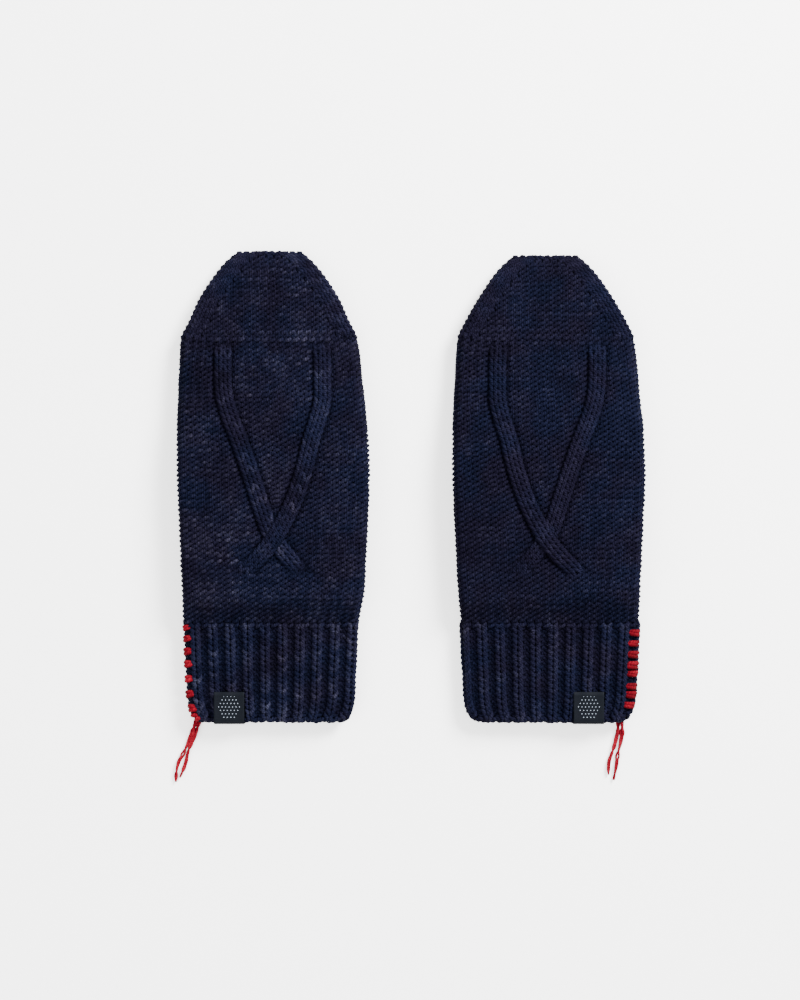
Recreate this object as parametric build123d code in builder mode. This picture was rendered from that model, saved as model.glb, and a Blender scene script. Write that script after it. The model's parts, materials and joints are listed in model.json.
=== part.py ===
"""A pair of convertible flip-top mittens, lying flat with the palms down.

Row frame, in millimetres: +X to the right-hand mitten, +Y towards the fingertips, +Z up.
The origin is at the centre of the pair, on the surface that it lies on.
Heights along a mitten are measured from its hem and moved into the row frame by HEM_Y.
Each mitten is a flattened knitted tube: a cuff, a hand, and a hood that folds back at the
knuckles. The thumb is turned in under the palm, so the palm and back arch over it.
"""

from build123d import *
import math
import os

os.makedirs("parts", exist_ok=True)

# Lengths of one mitten: cuff, hand up to the knuckle fold, hood, and the shaped part of the hood
CUFF_LENGTH = 52.0
HAND_LENGTH = 95.0
HOOD_LENGTH = 104.0
TIP_LENGTH = 45.0

# Widths of one mitten, and the distance between the centre lines of the two
HEM_WIDTH = 86.0
WRIST_WIDTH = 92.0
HEEL_WIDTH = 95.0
THUMB_WIDTH = 99.5
HAND_WIDTH = 102.0
KNUCKLE_WIDTH = 101.6
FINGER_WIDTH = 98.0
SHOULDER_WIDTH = 94.0
TIP_WIDTH = 36.0
SPACING = 146.0

# Where the hand rises over the thumb, is widest, and where the hood comes down to the table
RISE_LENGTH = 14.0
WIDEST_BELOW_FOLD = 12.0
SETTLE_LENGTH = 29.0

# Knitted fabric and the stack of layers
KNIT = 2.5
LAYER_GAP = 0.4
FOLD_GAP = 0.3
HAND_SPACE = 5.2
CUFF_THICK = 10.6
FINGER_THICK = 14.6
SHOULDER_THICK = 12.4
TIP_THICK = 7.5
TIP_SECTIONS = 5
TIP_ROUNDNESS = 1.4

# Thumb tube, turned in under the palm
THUMB_SPACE = 1.5
THUMB_KNIT = 2.5
THUMB_EDGE_R = 2.0
THUMB_BASE_R = 15.0
THUMB_TIP_R = 13.0
THUMB_HOLE_R = 10.5
THUMB_REACH = 50.0
THUMB_X = 30.0
THUMB_ABOVE_CUFF = 30.0
THUMB_TURN = 145.0

# Ribbed edges at the finger slit
PALM_RIB_DEPTH = 22.0
HOOD_RIB_LAP = 12.0
HOOD_RIB_ABOVE_FOLD = 9.0
HOOD_RIB_THICK = 2.4

# Cables on the back
CABLE_RISE = 2.2
CABLE_WIDTH = 10.4
CABLE_X = 26.2
CABLE_FOLD_X = 20.8
CABLE_LEAN_X = 9.0
CABLE_LEAN = 17.0
CABLE_END_X = 15.5
CABLE_SPREAD = 3.6
CABLE_CLEAR = 0.3
CABLE_ABOVE_FOLD = 54.0
CABLE_BEND_ABOVE_FOLD = 21.0
CABLE_CROSS_BELOW_FOLD = 52.0
CABLE_END_BELOW_FOLD = 69.0

# Smooth bands along the shaped edges of the tip
BAND_WIDTH = 9.0

# Whipstitches along the outer edge of the cuff
THREAD_R = 1.1
STITCH_COUNT = 8
STITCH_MARGIN = 3.5
STITCH_LIFT = 0.35
STITCH_INWARD = 3.0
STITCH_UNDER = 40.0

# Loose thread ends, with the share of a straight run that each bend takes up
TAIL_R = 0.7
TAIL_BEND = 0.45
TAIL_LIE = 0.7
TAIL_START = 2.5

# Woven label folded over the hem
LABEL_THICK = 0.7
LABEL_WIDTH = 16.3
LABEL_LENGTH = 16.0
LABEL_INSIDE = 10.0
LABEL_X = 23.3
DOT_R = 0.42
DOT_RISE = 0.15
DOT_PITCH = 1.85
DOT_ROWS = 7

# How far a space runs past an open end, so that it cuts the end clean away
OPEN_PAST = 1.0

# Heights from the hem
FOLD = CUFF_LENGTH + HAND_LENGTH
LENGTH = FOLD + HOOD_LENGTH
SHOULDER = LENGTH - TIP_LENGTH
ARCH_START = CUFF_LENGTH + RISE_LENGTH
WIDEST = FOLD - WIDEST_BELOW_FOLD
HOOD_SETTLES = FOLD + SETTLE_LENGTH
PALM_RIB_START = FOLD - PALM_RIB_DEPTH
HOOD_RIB_START = FOLD - HOOD_RIB_LAP
HOOD_RIB_END = FOLD + HOOD_RIB_ABOVE_FOLD
THUMB_Y = CUFF_LENGTH + THUMB_ABOVE_CUFF
CABLE_TOP = FOLD + CABLE_ABOVE_FOLD
CABLE_BEND = FOLD + CABLE_BEND_ABOVE_FOLD
CABLE_CROSS = FOLD - CABLE_CROSS_BELOW_FOLD
CABLE_END = FOLD - CABLE_END_BELOW_FOLD
STITCH_FIRST = STITCH_MARGIN
STITCH_LAST = CUFF_LENGTH - STITCH_MARGIN

# Levels above the table
HEM_Y = -(LENGTH - LABEL_THICK) / 2
THUMB_THICK = 2 * THUMB_KNIT + THUMB_SPACE
PALM_LOW = THUMB_THICK + LAYER_GAP
HAND_TOP = PALM_LOW + 2 * KNIT + HAND_SPACE
HOOD_LOW = PALM_LOW - LAYER_GAP - HOOD_RIB_THICK
HINGE_Z = HAND_TOP + CABLE_RISE + LAYER_GAP

# Sections as height from the hem, width, underside and top
CUFF_SECTIONS = (
    (0.0, HEM_WIDTH, 0.0, CUFF_THICK),
    (CUFF_LENGTH, WRIST_WIDTH, 0.0, CUFF_THICK),
)
HAND_SECTIONS = (
    (CUFF_LENGTH, WRIST_WIDTH, 0.0, CUFF_THICK),
    (ARCH_START, HEEL_WIDTH, PALM_LOW, HAND_TOP),
    ((ARCH_START + WIDEST) / 2, THUMB_WIDTH, PALM_LOW, HAND_TOP),
    (WIDEST, HAND_WIDTH, PALM_LOW, HAND_TOP),
    (FOLD - FOLD_GAP, KNUCKLE_WIDTH, PALM_LOW, HAND_TOP),
)

# Each side's centre line and the direction of its thumb
SIDES = {"left": (-SPACING / 2, 1), "right": (SPACING / 2, -1)}


def save(part, name):
    """Labels one solid or group and writes it as its own file."""
    part.label = name
    export_step(part, f"parts/{name}.step")
    print(f"{name}: {part.volume:.1f} mm3, {len(part.solids())} solid(s)")


def at(sections, height, column):
    """Gives a section size at any height, on the straight line between two sections."""
    for low, high in zip(sections, sections[1:]):
        if low[0] <= height <= high[0]:
            share = (height - low[0]) / (high[0] - low[0])
            return low[column] + share * (high[column] - low[column])
    raise ValueError(f"no section at height {height}")


def hood_sections():
    """Gives the hood's sections. Its tip narrows slowly at first, and then faster."""
    sections = [
        (FOLD + FOLD_GAP, KNUCKLE_WIDTH, HOOD_LOW, HAND_TOP),
        (HOOD_SETTLES, FINGER_WIDTH, 0.0, FINGER_THICK),
    ]
    for index in range(TIP_SECTIONS + 1):
        share = index / TIP_SECTIONS
        width = SHOULDER_WIDTH - (SHOULDER_WIDTH - TIP_WIDTH) * share**TIP_ROUNDNESS
        thick = SHOULDER_THICK - (SHOULDER_THICK - TIP_THICK) * share
        sections.append((SHOULDER + share * TIP_LENGTH, width, 0.0, thick))
    return tuple(sections)


def cut_between(sections, low, high):
    """Gives the sections between two heights, with one exactly at each end."""
    inner = [s for s in sections if low < s[0] < high]
    ends = [(y, at(sections, y, 1), at(sections, y, 2), at(sections, y, 3)) for y in (low, high)]
    return [ends[0], *inner, ends[1]]


def shrunk(sections, before, after):
    """Gives the sections of the space inside a tube, moved past its ends where it is open."""
    inside = [(y, w - 2 * KNIT, low + KNIT, top - KNIT) for y, w, low, top in sections]
    first = inside[0]
    last = inside[-1]
    inside[0] = (first[0] - before, *first[1:])
    inside[-1] = (last[0] + after, *last[1:])
    return inside


def section_plane(centre, height, middle):
    """Gives the plane across a mitten at one height."""
    return Plane(origin=(centre, HEM_Y + height, middle), x_dir=(1, 0, 0), z_dir=(0, 1, 0))


def tube_areas(centre, sections):
    """Draws a flattened round section at each height, for a loft."""
    areas = []
    for height, width, low, top in sections:
        with BuildSketch(section_plane(centre, height, (low + top) / 2)) as area:
            SlotOverall(width, top - low)
        areas.append(area.sketch.face())
    return areas


def side_profile(centre, lower, upper):
    """Draws a closed area seen from the side, between a lower and an upper line."""
    points = [*lower, *reversed(upper)]
    with BuildSketch(Plane(origin=(centre, HEM_Y, 0), x_dir=(0, 1, 0), z_dir=(1, 0, 0))) as area:
        with BuildLine():
            Polyline(*points, close=True)
        make_face()
    return area.sketch


def middle_line(sections):
    """Gives the line halfway between the underside and top of a tube."""
    return [(y, (low + top) / 2) for y, _, low, top in sections]


def flat_line(sections, level):
    """Gives a level line over the same stretch as the sections."""
    return [(sections[0][0], level), (sections[-1][0], level)]


def tube_half(centre, sections, upper, open_end):
    """Builds the back or palm half of a stretch of tube."""
    middle = middle_line(sections)
    outside = tube_areas(centre, sections)
    inside = tube_areas(centre, shrunk(sections, OPEN_PAST, OPEN_PAST if open_end else -KNIT))
    if upper:
        kept = side_profile(centre, middle, flat_line(sections, 2 * HAND_TOP))
    else:
        kept = side_profile(centre, flat_line(sections, -HAND_TOP), middle)
    with BuildPart() as half:
        loft(outside, ruled=True)
        loft(inside, ruled=True, mode=Mode.SUBTRACT)
        extrude(kept, amount=HAND_WIDTH, both=True, mode=Mode.INTERSECT)
    return half.part


def cuff(side, centre):
    """Builds the ribbed cuff, an open tube."""
    outside = tube_areas(centre, CUFF_SECTIONS)
    inside = tube_areas(centre, shrunk(CUFF_SECTIONS, OPEN_PAST, OPEN_PAST))
    with BuildPart() as tube:
        loft(outside, ruled=True)
        loft(inside, ruled=True, mode=Mode.SUBTRACT)
    save(tube.part, f"{side}_cuff")


def hand_back(side, centre):
    """Builds the back of the hand, up to the knuckle fold."""
    name = f"{side}_hand_back"
    save(tube_half(centre, HAND_SECTIONS, True, True), name)


def hand_palm(side, centre, hand):
    """Builds the palm, with the hole that leads into the thumb."""
    name = f"{side}_hand_palm"
    sections = cut_between(HAND_SECTIONS, CUFF_LENGTH, PALM_RIB_START)
    half = tube_half(centre, sections, False, True)
    with BuildPart() as palm:
        add(half)
        with BuildSketch(Plane(origin=(centre + hand * THUMB_X, HEM_Y + THUMB_Y, 0))):
            Circle(THUMB_HOLE_R)
        extrude(amount=PALM_LOW + 2 * KNIT, mode=Mode.SUBTRACT)
    save(palm.part, name)


def palm_rib(side, centre):
    """Builds the ribbed edge of the palm at the finger slit."""
    name = f"{side}_palm_rib"
    sections = cut_between(HAND_SECTIONS, PALM_RIB_START, FOLD - FOLD_GAP)
    save(tube_half(centre, sections, False, True), name)


def band_areas(centre):
    """Draws the two strips along the shaped edges of the tip, seen from above."""
    edge = [(y, w / 2 - BAND_WIDTH) for y, w, _, _ in hood_sections() if y >= SHOULDER]
    edge.append((LENGTH + BAND_WIDTH, edge[-1][1]))
    far = HAND_WIDTH
    past = LENGTH + BAND_WIDTH
    with BuildSketch(Plane(origin=(centre, HEM_Y, -HAND_TOP))) as areas:
        for turn in (-1, 1):
            corners = [(turn * x, y) for y, x in edge]
            with BuildLine():
                Polyline((turn * far, SHOULDER), *corners, (turn * far, past), close=True)
            make_face()
    return areas.sketch


def hood_back(side, centre):
    """Builds the back of the hood, without the bands along its shaped edges."""
    name = f"{side}_hood_back"
    half = tube_half(centre, hood_sections(), True, False)
    strips = band_areas(centre)
    with BuildPart() as back:
        add(half)
        extrude(strips, amount=3 * HAND_TOP, mode=Mode.SUBTRACT)
    save(back.part, name)


def tip_bands(side, centre):
    """Builds the smooth bands along the shaped edges of the tip."""
    name = f"{side}_tip_bands"
    half = tube_half(centre, hood_sections(), True, False)
    strips = band_areas(centre)
    with BuildPart() as bands:
        add(half)
        extrude(strips, amount=3 * HAND_TOP, mode=Mode.INTERSECT)
    save(bands.part, name)


def hood_palm(side, centre):
    """Builds the palm side of the hood, from its ribbed edge to the tip."""
    name = f"{side}_hood_palm"
    sections = cut_between(hood_sections(), HOOD_RIB_END, LENGTH)
    save(tube_half(centre, sections, False, False), name)


def hood_rib(side, centre):
    """Builds the ribbed edge of the hood, which laps under the palm's own ribbed edge."""
    name = f"{side}_hood_rib"
    sections = cut_between(hood_sections(), FOLD + FOLD_GAP, HOOD_RIB_END)
    half = tube_half(centre, sections, False, True)
    lap_width = HAND_WIDTH - (HAND_TOP - HOOD_LOW)
    lap_length = FOLD + FOLD_GAP - HOOD_RIB_START
    with BuildPart() as rib:
        add(half)
        with BuildSketch(Plane(origin=(centre, HEM_Y + HOOD_RIB_START, HOOD_LOW))):
            Rectangle(lap_width, lap_length, align=(Align.CENTER, Align.MIN))
        extrude(amount=HOOD_RIB_THICK)
    save(rib.part, name)


def thumb(side, centre, hand):
    """Builds the thumb, a flattened tube closed at its tip and open upwards at its base."""
    along = math.radians(THUMB_TURN)
    reach = THUMB_REACH - THUMB_TIP_R
    tip = (hand * reach * math.cos(along), reach * math.sin(along))
    pivot = (centre + hand * THUMB_X, HEM_Y + THUMB_Y, 0)
    with BuildPart() as tube:
        extrude(thumb_area(Plane(origin=pivot), tip, 0.0), amount=THUMB_THICK)
        fillet(tube.faces().sort_by(Axis.Z)[-1].edges(), radius=THUMB_EDGE_R)
        fillet(tube.faces().sort_by(Axis.Z)[0].edges(), radius=THUMB_EDGE_R)
        space = thumb_area(Plane(origin=pivot).offset(THUMB_KNIT), tip, THUMB_KNIT)
        extrude(space, amount=THUMB_SPACE, mode=Mode.SUBTRACT)
        with BuildSketch(Plane(origin=pivot).offset(THUMB_KNIT)):
            Circle(THUMB_HOLE_R)
        extrude(amount=THUMB_THICK, mode=Mode.SUBTRACT)
    save(tube.part, f"{side}_thumb")


def thumb_area(plane, tip, inset):
    """Draws the thumb's outline, moved inwards by an inset."""
    with BuildSketch(plane) as area:
        with BuildLine():
            CenterArc((0, 0), THUMB_BASE_R - inset, 0, 360)
            CenterArc(tip, THUMB_TIP_R - inset, 0, 360)
        make_hull()
    return area.sketch


def cable_middle():
    """Gives the line of the cable that starts on the thumb's side, as height and offset."""
    return (
        (CABLE_TOP, CABLE_X, CABLE_WIDTH),
        (CABLE_BEND, CABLE_X, CABLE_WIDTH),
        (FOLD, CABLE_FOLD_X, CABLE_WIDTH),
        (CABLE_CROSS + CABLE_LEAN, CABLE_LEAN_X, CABLE_WIDTH),
        (CABLE_CROSS, 0.0, CABLE_WIDTH + CABLE_SPREAD),
        (CABLE_END, -CABLE_END_X, CABLE_WIDTH + CABLE_SPREAD),
    )


def cable_area(centre, turn, extra, low, high):
    """Draws one cable seen from above, as a strip between two heights."""
    whole = [(y, turn * x, w + 2 * extra) for y, x, w in reversed(cable_middle())]
    line = cut_strip(whole, low, high)
    left = [(x - w / 2, y) for y, x, w in line]
    right = [(x + w / 2, y) for y, x, w in line]
    with BuildSketch(Plane(origin=(centre, HEM_Y, 0))) as area:
        with BuildLine():
            Polyline(*left, *reversed(right), close=True)
        make_face()
    return area.sketch


def cut_strip(line, low, high):
    """Gives the part of a strip between two heights."""
    inner = [p for p in line if low < p[0] < high]
    ends = [(y, at(line, y, 1), at(line, y, 2)) for y in (low, high)]
    return [ends[0], *inner, ends[1]]


def hand_cable(side, centre, turn, over):
    """Builds a raised cable on the back of the hand. The lower one stops at the upper one."""
    top = FOLD - FOLD_GAP
    with BuildPart() as cable:
        extrude(cable_area(centre, turn, 0.0, CABLE_END, top), amount=HAND_TOP + CABLE_RISE)
        with BuildSketch(Plane(origin=(centre, HEM_Y, 0))):
            Rectangle(HAND_WIDTH, LENGTH, align=(Align.CENTER, Align.MIN))
        extrude(amount=HAND_TOP, mode=Mode.SUBTRACT)
        if not over:
            upper = cable_area(centre, -turn, CABLE_CLEAR, CABLE_END, top)
            extrude(upper, amount=HINGE_Z, mode=Mode.SUBTRACT)
    save(cable.part, f"{side}_cable_{'over' if over else 'under'}")


def hood_cable(side, centre, turn, place):
    """Builds a raised cable on the back of the hood, down to the fold."""
    sections = cut_between(hood_sections(), FOLD + FOLD_GAP, CABLE_TOP)
    lower = [(y, top) for y, _, _, top in sections]
    upper = [(y, z + CABLE_RISE) for y, z in lower]
    with BuildPart() as cable:
        extrude(cable_area(centre, turn, 0.0, FOLD + FOLD_GAP, CABLE_TOP), amount=HINGE_Z)
        band = side_profile(centre, lower, upper)
        extrude(band, amount=HAND_WIDTH, both=True, mode=Mode.INTERSECT)
    save(cable.part, f"{side}_hood_cable_{place}")


def seam_stitches(side, centre, hand):
    """Builds the whipstitches that close the outer edge of the cuff."""
    step = (STITCH_LAST - STITCH_FIRST) / (STITCH_COUNT - 1)
    radius = CUFF_THICK / 2 + STITCH_LIFT
    with BuildPart() as seam:
        for index in range(STITCH_COUNT):
            height = STITCH_FIRST + index * step
            edge = at(CUFF_SECTIONS, height, 1) / 2 - CUFF_THICK / 2
            plane = Plane(
                origin=(centre - hand * edge, HEM_Y + height, CUFF_THICK / 2),
                x_dir=(-hand, 0, 0),
                z_dir=(0, hand, 0),
            )
            path = stitch_line(plane, radius)
            sweep(thread_area(path, THREAD_R), path=path)
    save(seam.part, f"{side}_seam_stitches")


def stitch_line(plane, radius):
    """Draws the line of one stitch over the edge of the cuff, from its top to its underside."""
    with BuildLine(plane) as path:
        Line((-STITCH_INWARD, radius), (0, radius))
        CenterArc((0, 0), radius, 90, -90 - STITCH_UNDER)
    return path.wire()


def thread_area(path, radius):
    """Draws a round section at the start of a path, square to it."""
    with BuildSketch(Plane(origin=path @ 0, z_dir=path % 0)) as area:
        Circle(radius)
    return area.sketch


def tail(name, points):
    """Sweeps one loose thread end along straight runs that meet in arcs."""
    radii = []
    for before, corner, after in zip(points, points[1:], points[2:]):
        first = Vector(*corner) - Vector(*before)
        second = Vector(*after) - Vector(*corner)
        half_turn = math.radians(first.get_angle(second)) / 2
        radii.append(TAIL_BEND * min(first.length, second.length) / math.tan(half_turn))
    with BuildPart() as thread:
        with BuildLine() as path:
            FilletPolyline(*points, radius=radii)
        sweep(thread_area(path.wire(), TAIL_R), path=path.wire())
    save(thread.part, name)
    run = path.wire().length
    print(f"  radii {[round(r, 1) for r in radii]}, length {run:.1f} mm")
    print(f"  section times length {math.pi * TAIL_R ** 2 * run:.1f} mm3")


def tail_routes(side, centre):
    """Gives the routes of the two thread ends of one mitten, long one first."""
    lie = TAIL_LIE
    inside = TAIL_START
    routes = {
        "left": (
            (
                (-41.2, inside, 3.4),
                (-43.0, -4.6, 2.2),
                (-45.8, -11.2, lie),
                (-48.4, -17.6, lie),
                (-52.6, -24.6, lie),
                (-52.8, -33.4, lie),
            ),
            (
                (-39.4, inside, 1.8),
                (-41.0, -4.2, 1.5),
                (-43.6, -10.8, 0.8),
                (-46.4, -17.2, lie),
                (-47.6, -24.6, lie),
                (-50.6, -31.0, lie),
            ),
        ),
        "right": (
            (
                (41.6, inside, 3.4),
                (42.2, -4.6, 2.6),
                (41.4, -12.0, 1.0),
                (39.6, -18.6, lie),
                (39.0, -25.6, lie),
                (37.4, -32.4, lie),
            ),
            (
                (39.6, inside, 1.8),
                (40.2, -3.6, 1.4),
                (38.8, -10.6, 0.8),
                (37.0, -17.0, lie),
                (34.4, -23.4, lie),
                (34.8, -29.6, lie),
            ),
        ),
    }
    return [[(centre + x, HEM_Y + y, z) for x, y, z in route] for route in routes[side]]


def label(side, centre, hand):
    """Builds the woven label, folded over the hem so that it lies outside and inside."""
    top = CUFF_THICK + LABEL_THICK
    inner_top = CUFF_THICK - KNIT
    outline = (
        (-LABEL_THICK, top),
        (LABEL_LENGTH, top),
        (LABEL_LENGTH, CUFF_THICK),
        (0.0, CUFF_THICK),
        (0.0, inner_top),
        (LABEL_INSIDE, inner_top),
        (LABEL_INSIDE, inner_top - LABEL_THICK),
        (-LABEL_THICK, inner_top - LABEL_THICK),
    )
    middle = centre - hand * LABEL_X
    with BuildPart() as cloth:
        with BuildSketch(Plane(origin=(middle, HEM_Y, 0), x_dir=(0, 1, 0), z_dir=(1, 0, 0))):
            with BuildLine():
                Polyline(*outline, close=True)
            make_face()
        extrude(amount=LABEL_WIDTH / 2, both=True)
    save(cloth.part, f"{side}_label")


def label_motif(side, centre, hand):
    """Builds staggered rows of small woven dots on the label, in the outline of a hexagon."""
    most = DOT_ROWS // 2
    middle = centre - hand * LABEL_X
    height = HEM_Y + LABEL_LENGTH / 2
    with BuildPart() as dots:
        with BuildSketch(Plane(origin=(middle, height, CUFF_THICK + LABEL_THICK))):
            for row in range(-most, most + 1):
                count = DOT_ROWS - abs(row)
                with Locations((0, row * DOT_PITCH)):
                    with GridLocations(DOT_PITCH, DOT_PITCH, count, 1):
                        Circle(DOT_R)
        extrude(amount=DOT_RISE)
    save(dots.part, f"{side}_label_motif")


def mitten(side):
    """Builds every piece of one mitten."""
    centre, hand = SIDES[side]
    cuff(side, centre)
    hand_back(side, centre)
    hand_palm(side, centre, hand)
    palm_rib(side, centre)
    hood_back(side, centre)
    hood_palm(side, centre)
    hood_rib(side, centre)
    tip_bands(side, centre)
    thumb(side, centre, hand)
    hand_cable(side, centre, hand, True)
    hand_cable(side, centre, -hand, False)
    hood_cable(side, centre, hand, "inner")
    hood_cable(side, centre, -hand, "outer")
    seam_stitches(side, centre, hand)
    label(side, centre, hand)
    label_motif(side, centre, hand)
    long_route, short_route = tail_routes(side, centre)
    tail(f"{side}_tail_long", long_route)
    tail(f"{side}_tail_short", short_route)


for side_name in SIDES:
    mitten(side_name)
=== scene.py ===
"""Convertible flip-top mittens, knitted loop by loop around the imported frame.

Every fabric is made of round yarns that follow real stitches: reverse stockinette on the
backs, raised cables, smooth stockinette on the palms and shaped edges, and a ribbed cuff.
Lengths inside the classes are in millimetres, measured from a mitten's hem and centre line.
They are turned into metres in the row frame when a mesh is made.
"""

import json
import logging
import math
from dataclasses import dataclass, field
from enum import Enum

import bpy
import numpy as np
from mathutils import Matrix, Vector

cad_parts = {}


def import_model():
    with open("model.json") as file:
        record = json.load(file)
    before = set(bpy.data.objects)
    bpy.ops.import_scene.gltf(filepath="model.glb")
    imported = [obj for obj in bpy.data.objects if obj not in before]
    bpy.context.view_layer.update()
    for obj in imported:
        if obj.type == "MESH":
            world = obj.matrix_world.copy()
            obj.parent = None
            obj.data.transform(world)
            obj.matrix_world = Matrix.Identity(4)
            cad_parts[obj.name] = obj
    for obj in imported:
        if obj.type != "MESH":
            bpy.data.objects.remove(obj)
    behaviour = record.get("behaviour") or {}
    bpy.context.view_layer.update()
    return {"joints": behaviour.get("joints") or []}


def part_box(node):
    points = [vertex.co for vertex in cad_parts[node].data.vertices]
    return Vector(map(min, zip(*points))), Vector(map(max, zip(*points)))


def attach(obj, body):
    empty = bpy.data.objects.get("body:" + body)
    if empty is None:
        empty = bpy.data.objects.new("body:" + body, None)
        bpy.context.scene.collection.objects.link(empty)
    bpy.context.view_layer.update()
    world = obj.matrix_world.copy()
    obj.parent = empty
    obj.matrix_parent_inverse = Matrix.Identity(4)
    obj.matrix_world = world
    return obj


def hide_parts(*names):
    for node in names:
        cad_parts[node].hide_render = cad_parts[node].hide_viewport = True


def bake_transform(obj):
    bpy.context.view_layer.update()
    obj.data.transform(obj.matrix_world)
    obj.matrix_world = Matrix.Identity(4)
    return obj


log = logging.getLogger("mittens")

Array = np.ndarray

MM = 0.001
WALE_MM = 4.2  # width of one column of stitches in the smooth fabric
RIB_MM = 9.2  # width of one knit and one purl column of the ribbing
PLIES = (0.0, math.pi)  # where each of two twisted strands starts, as an angle


class Side(Enum):
    """Which mitten of the pair, as it lies on the table."""

    LEFT = "left"
    RIGHT = "right"


class Stitch(Enum):
    """Which side of a stitch faces outwards."""

    KNIT = 1.0
    PURL = -1.0


class Face(Enum):
    """Which half of a flattened tube a fabric covers."""

    BACK = "back"
    PALM = "palm"


# ---------------------------------------------------------------- small helpers


def linear(code: str) -> tuple[float, float, float, float]:
    """Turns an sRGB hex colour into linear light.

    Args:
        code: Six hexadecimal digits.

    Returns:
        Red, green, blue and an alpha of one.
    """
    parts = [int(code[i : i + 2], 16) / 255 for i in (0, 2, 4)]
    light = [c / 12.92 if c <= 0.04045 else ((c + 0.055) / 1.055) ** 2.4 for c in parts]
    return light[0], light[1], light[2], 1.0


def ease(low: float, high: float, value: Array) -> Array:
    """Rises smoothly from 0 at low to 1 at high."""
    share = np.clip((value - low) / (high - low), 0.0, 1.0)
    return share * share * (3.0 - 2.0 * share)


def drift(value: Array, scale: float, seed: int) -> Array:
    """Gives smooth seeded noise along a line.

    Args:
        value: Places along the line.
        scale: Distance between one random value and the next.
        seed: Chooses the noise.

    Returns:
        Values from -1 to 1.
    """
    cells, start = 4096, 1000.0
    table = np.random.default_rng(seed).uniform(-1.0, 1.0, cells)
    place = np.asarray(value, float) / scale + start
    cell = np.floor(place).astype(int)
    part = place - cell
    part = part * part * (3.0 - 2.0 * part)
    return table[cell % cells] * (1.0 - part) + table[(cell + 1) % cells] * part


def patches(across: Array, along: Array, scale: float, seed: int) -> Array:
    """Gives smooth seeded noise over an area.

    Args:
        across: Places across the area.
        along: Places along it.
        scale: Distance between one random value and the next.
        seed: Chooses the noise.

    Returns:
        Values from -1 to 1.
    """
    cells, start = 64, 32.0
    table = np.random.default_rng(seed).uniform(-1.0, 1.0, (cells, cells))
    u = np.asarray(across, float) / scale + start
    v = np.asarray(along, float) / scale + start
    i, j = np.floor(u).astype(int), np.floor(v).astype(int)
    a, b = u - i, v - j
    a, b = a * a * (3 - 2 * a), b * b * (3 - 2 * b)
    i, j, right, upper = i % cells, j % cells, (i + 1) % cells, (j + 1) % cells
    low = table[i, j] * (1 - a) + table[right, j] * a
    high = table[i, upper] * (1 - a) + table[right, upper] * a
    return low * (1 - b) + high * b


def plain(stitch: Stitch, count: int) -> Array:
    """Gives the faces of a row where every stitch is the same."""
    return np.full(count, stitch.value)


def ribbed(index: Array) -> Array:
    """Gives the faces of a ribbed row, from the stitches' numbers."""
    return np.where(index % 2 == 0, Stitch.KNIT.value, Stitch.PURL.value)


def courses(low: float, high: float, row_mm: float) -> tuple[Array, float]:
    """Spaces whole rows of stitches evenly between two heights.

    Args:
        low: Where the first row starts, in mm.
        high: Where the last row ends.
        row_mm: The usual height of a row.

    Returns:
        The height of each row's middle, and the height of a row.
    """
    count = int(round((high - low) / row_mm))
    step = (high - low) / count
    return low + (np.arange(count) + 0.5) * step, step


def travelled(line: Array) -> Array:
    """Gives the distance gone along a line at each of its points."""
    return np.concatenate([[0.0], np.cumsum(np.linalg.norm(np.diff(line, axis=0), axis=1))])


def closed_grid(rows: int, columns: int) -> list[tuple[int, int, int, int]]:
    """Joins two matching grids of points into a closed skin.

    Args:
        rows: Rows of points in each grid.
        columns: Points in each row.

    Returns:
        The faces of both grids and of the rim between them.
    """
    count = rows * columns
    faces = []
    for i in range(rows - 1):
        for j in range(columns - 1):
            a = i * columns + j
            b = a + columns
            faces.append((a, a + 1, b + 1, b))
            faces.append((a + count, b + count, b + 1 + count, a + 1 + count))
    rim = [(0, j) for j in range(columns)]
    rim += [(i, columns - 1) for i in range(1, rows)]
    rim += [(rows - 1, j) for j in range(columns - 2, -1, -1)]
    rim += [(i, 0) for i in range(rows - 2, 0, -1)]
    for (i, j), (k, m) in zip(rim, rim[1:] + rim[:1]):
        a, b = i * columns + j, k * columns + m
        faces.append((b, a, a + count, b + count))
    return faces


def mesh_piece(
    name: str, points: list, faces: list, material: bpy.types.Material, smooth: bool = True
) -> bpy.types.Object:
    """Makes a mesh object from points and faces.

    Args:
        name: The piece's name.
        points: Corners, in metres.
        faces: The corners' numbers, face by face.
        material: Its finish.
        smooth: Whether the faces are shaded as one soft surface.

    Returns:
        The new object.
    """
    mesh = bpy.data.meshes.new(name)
    mesh.from_pydata(points, [], faces)
    if smooth:
        mesh.polygons.foreach_set("use_smooth", np.ones(len(mesh.polygons), bool))
    mesh.materials.append(material)
    piece = bpy.data.objects.new(name, mesh)
    bpy.context.scene.collection.objects.link(piece)
    return piece


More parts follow.
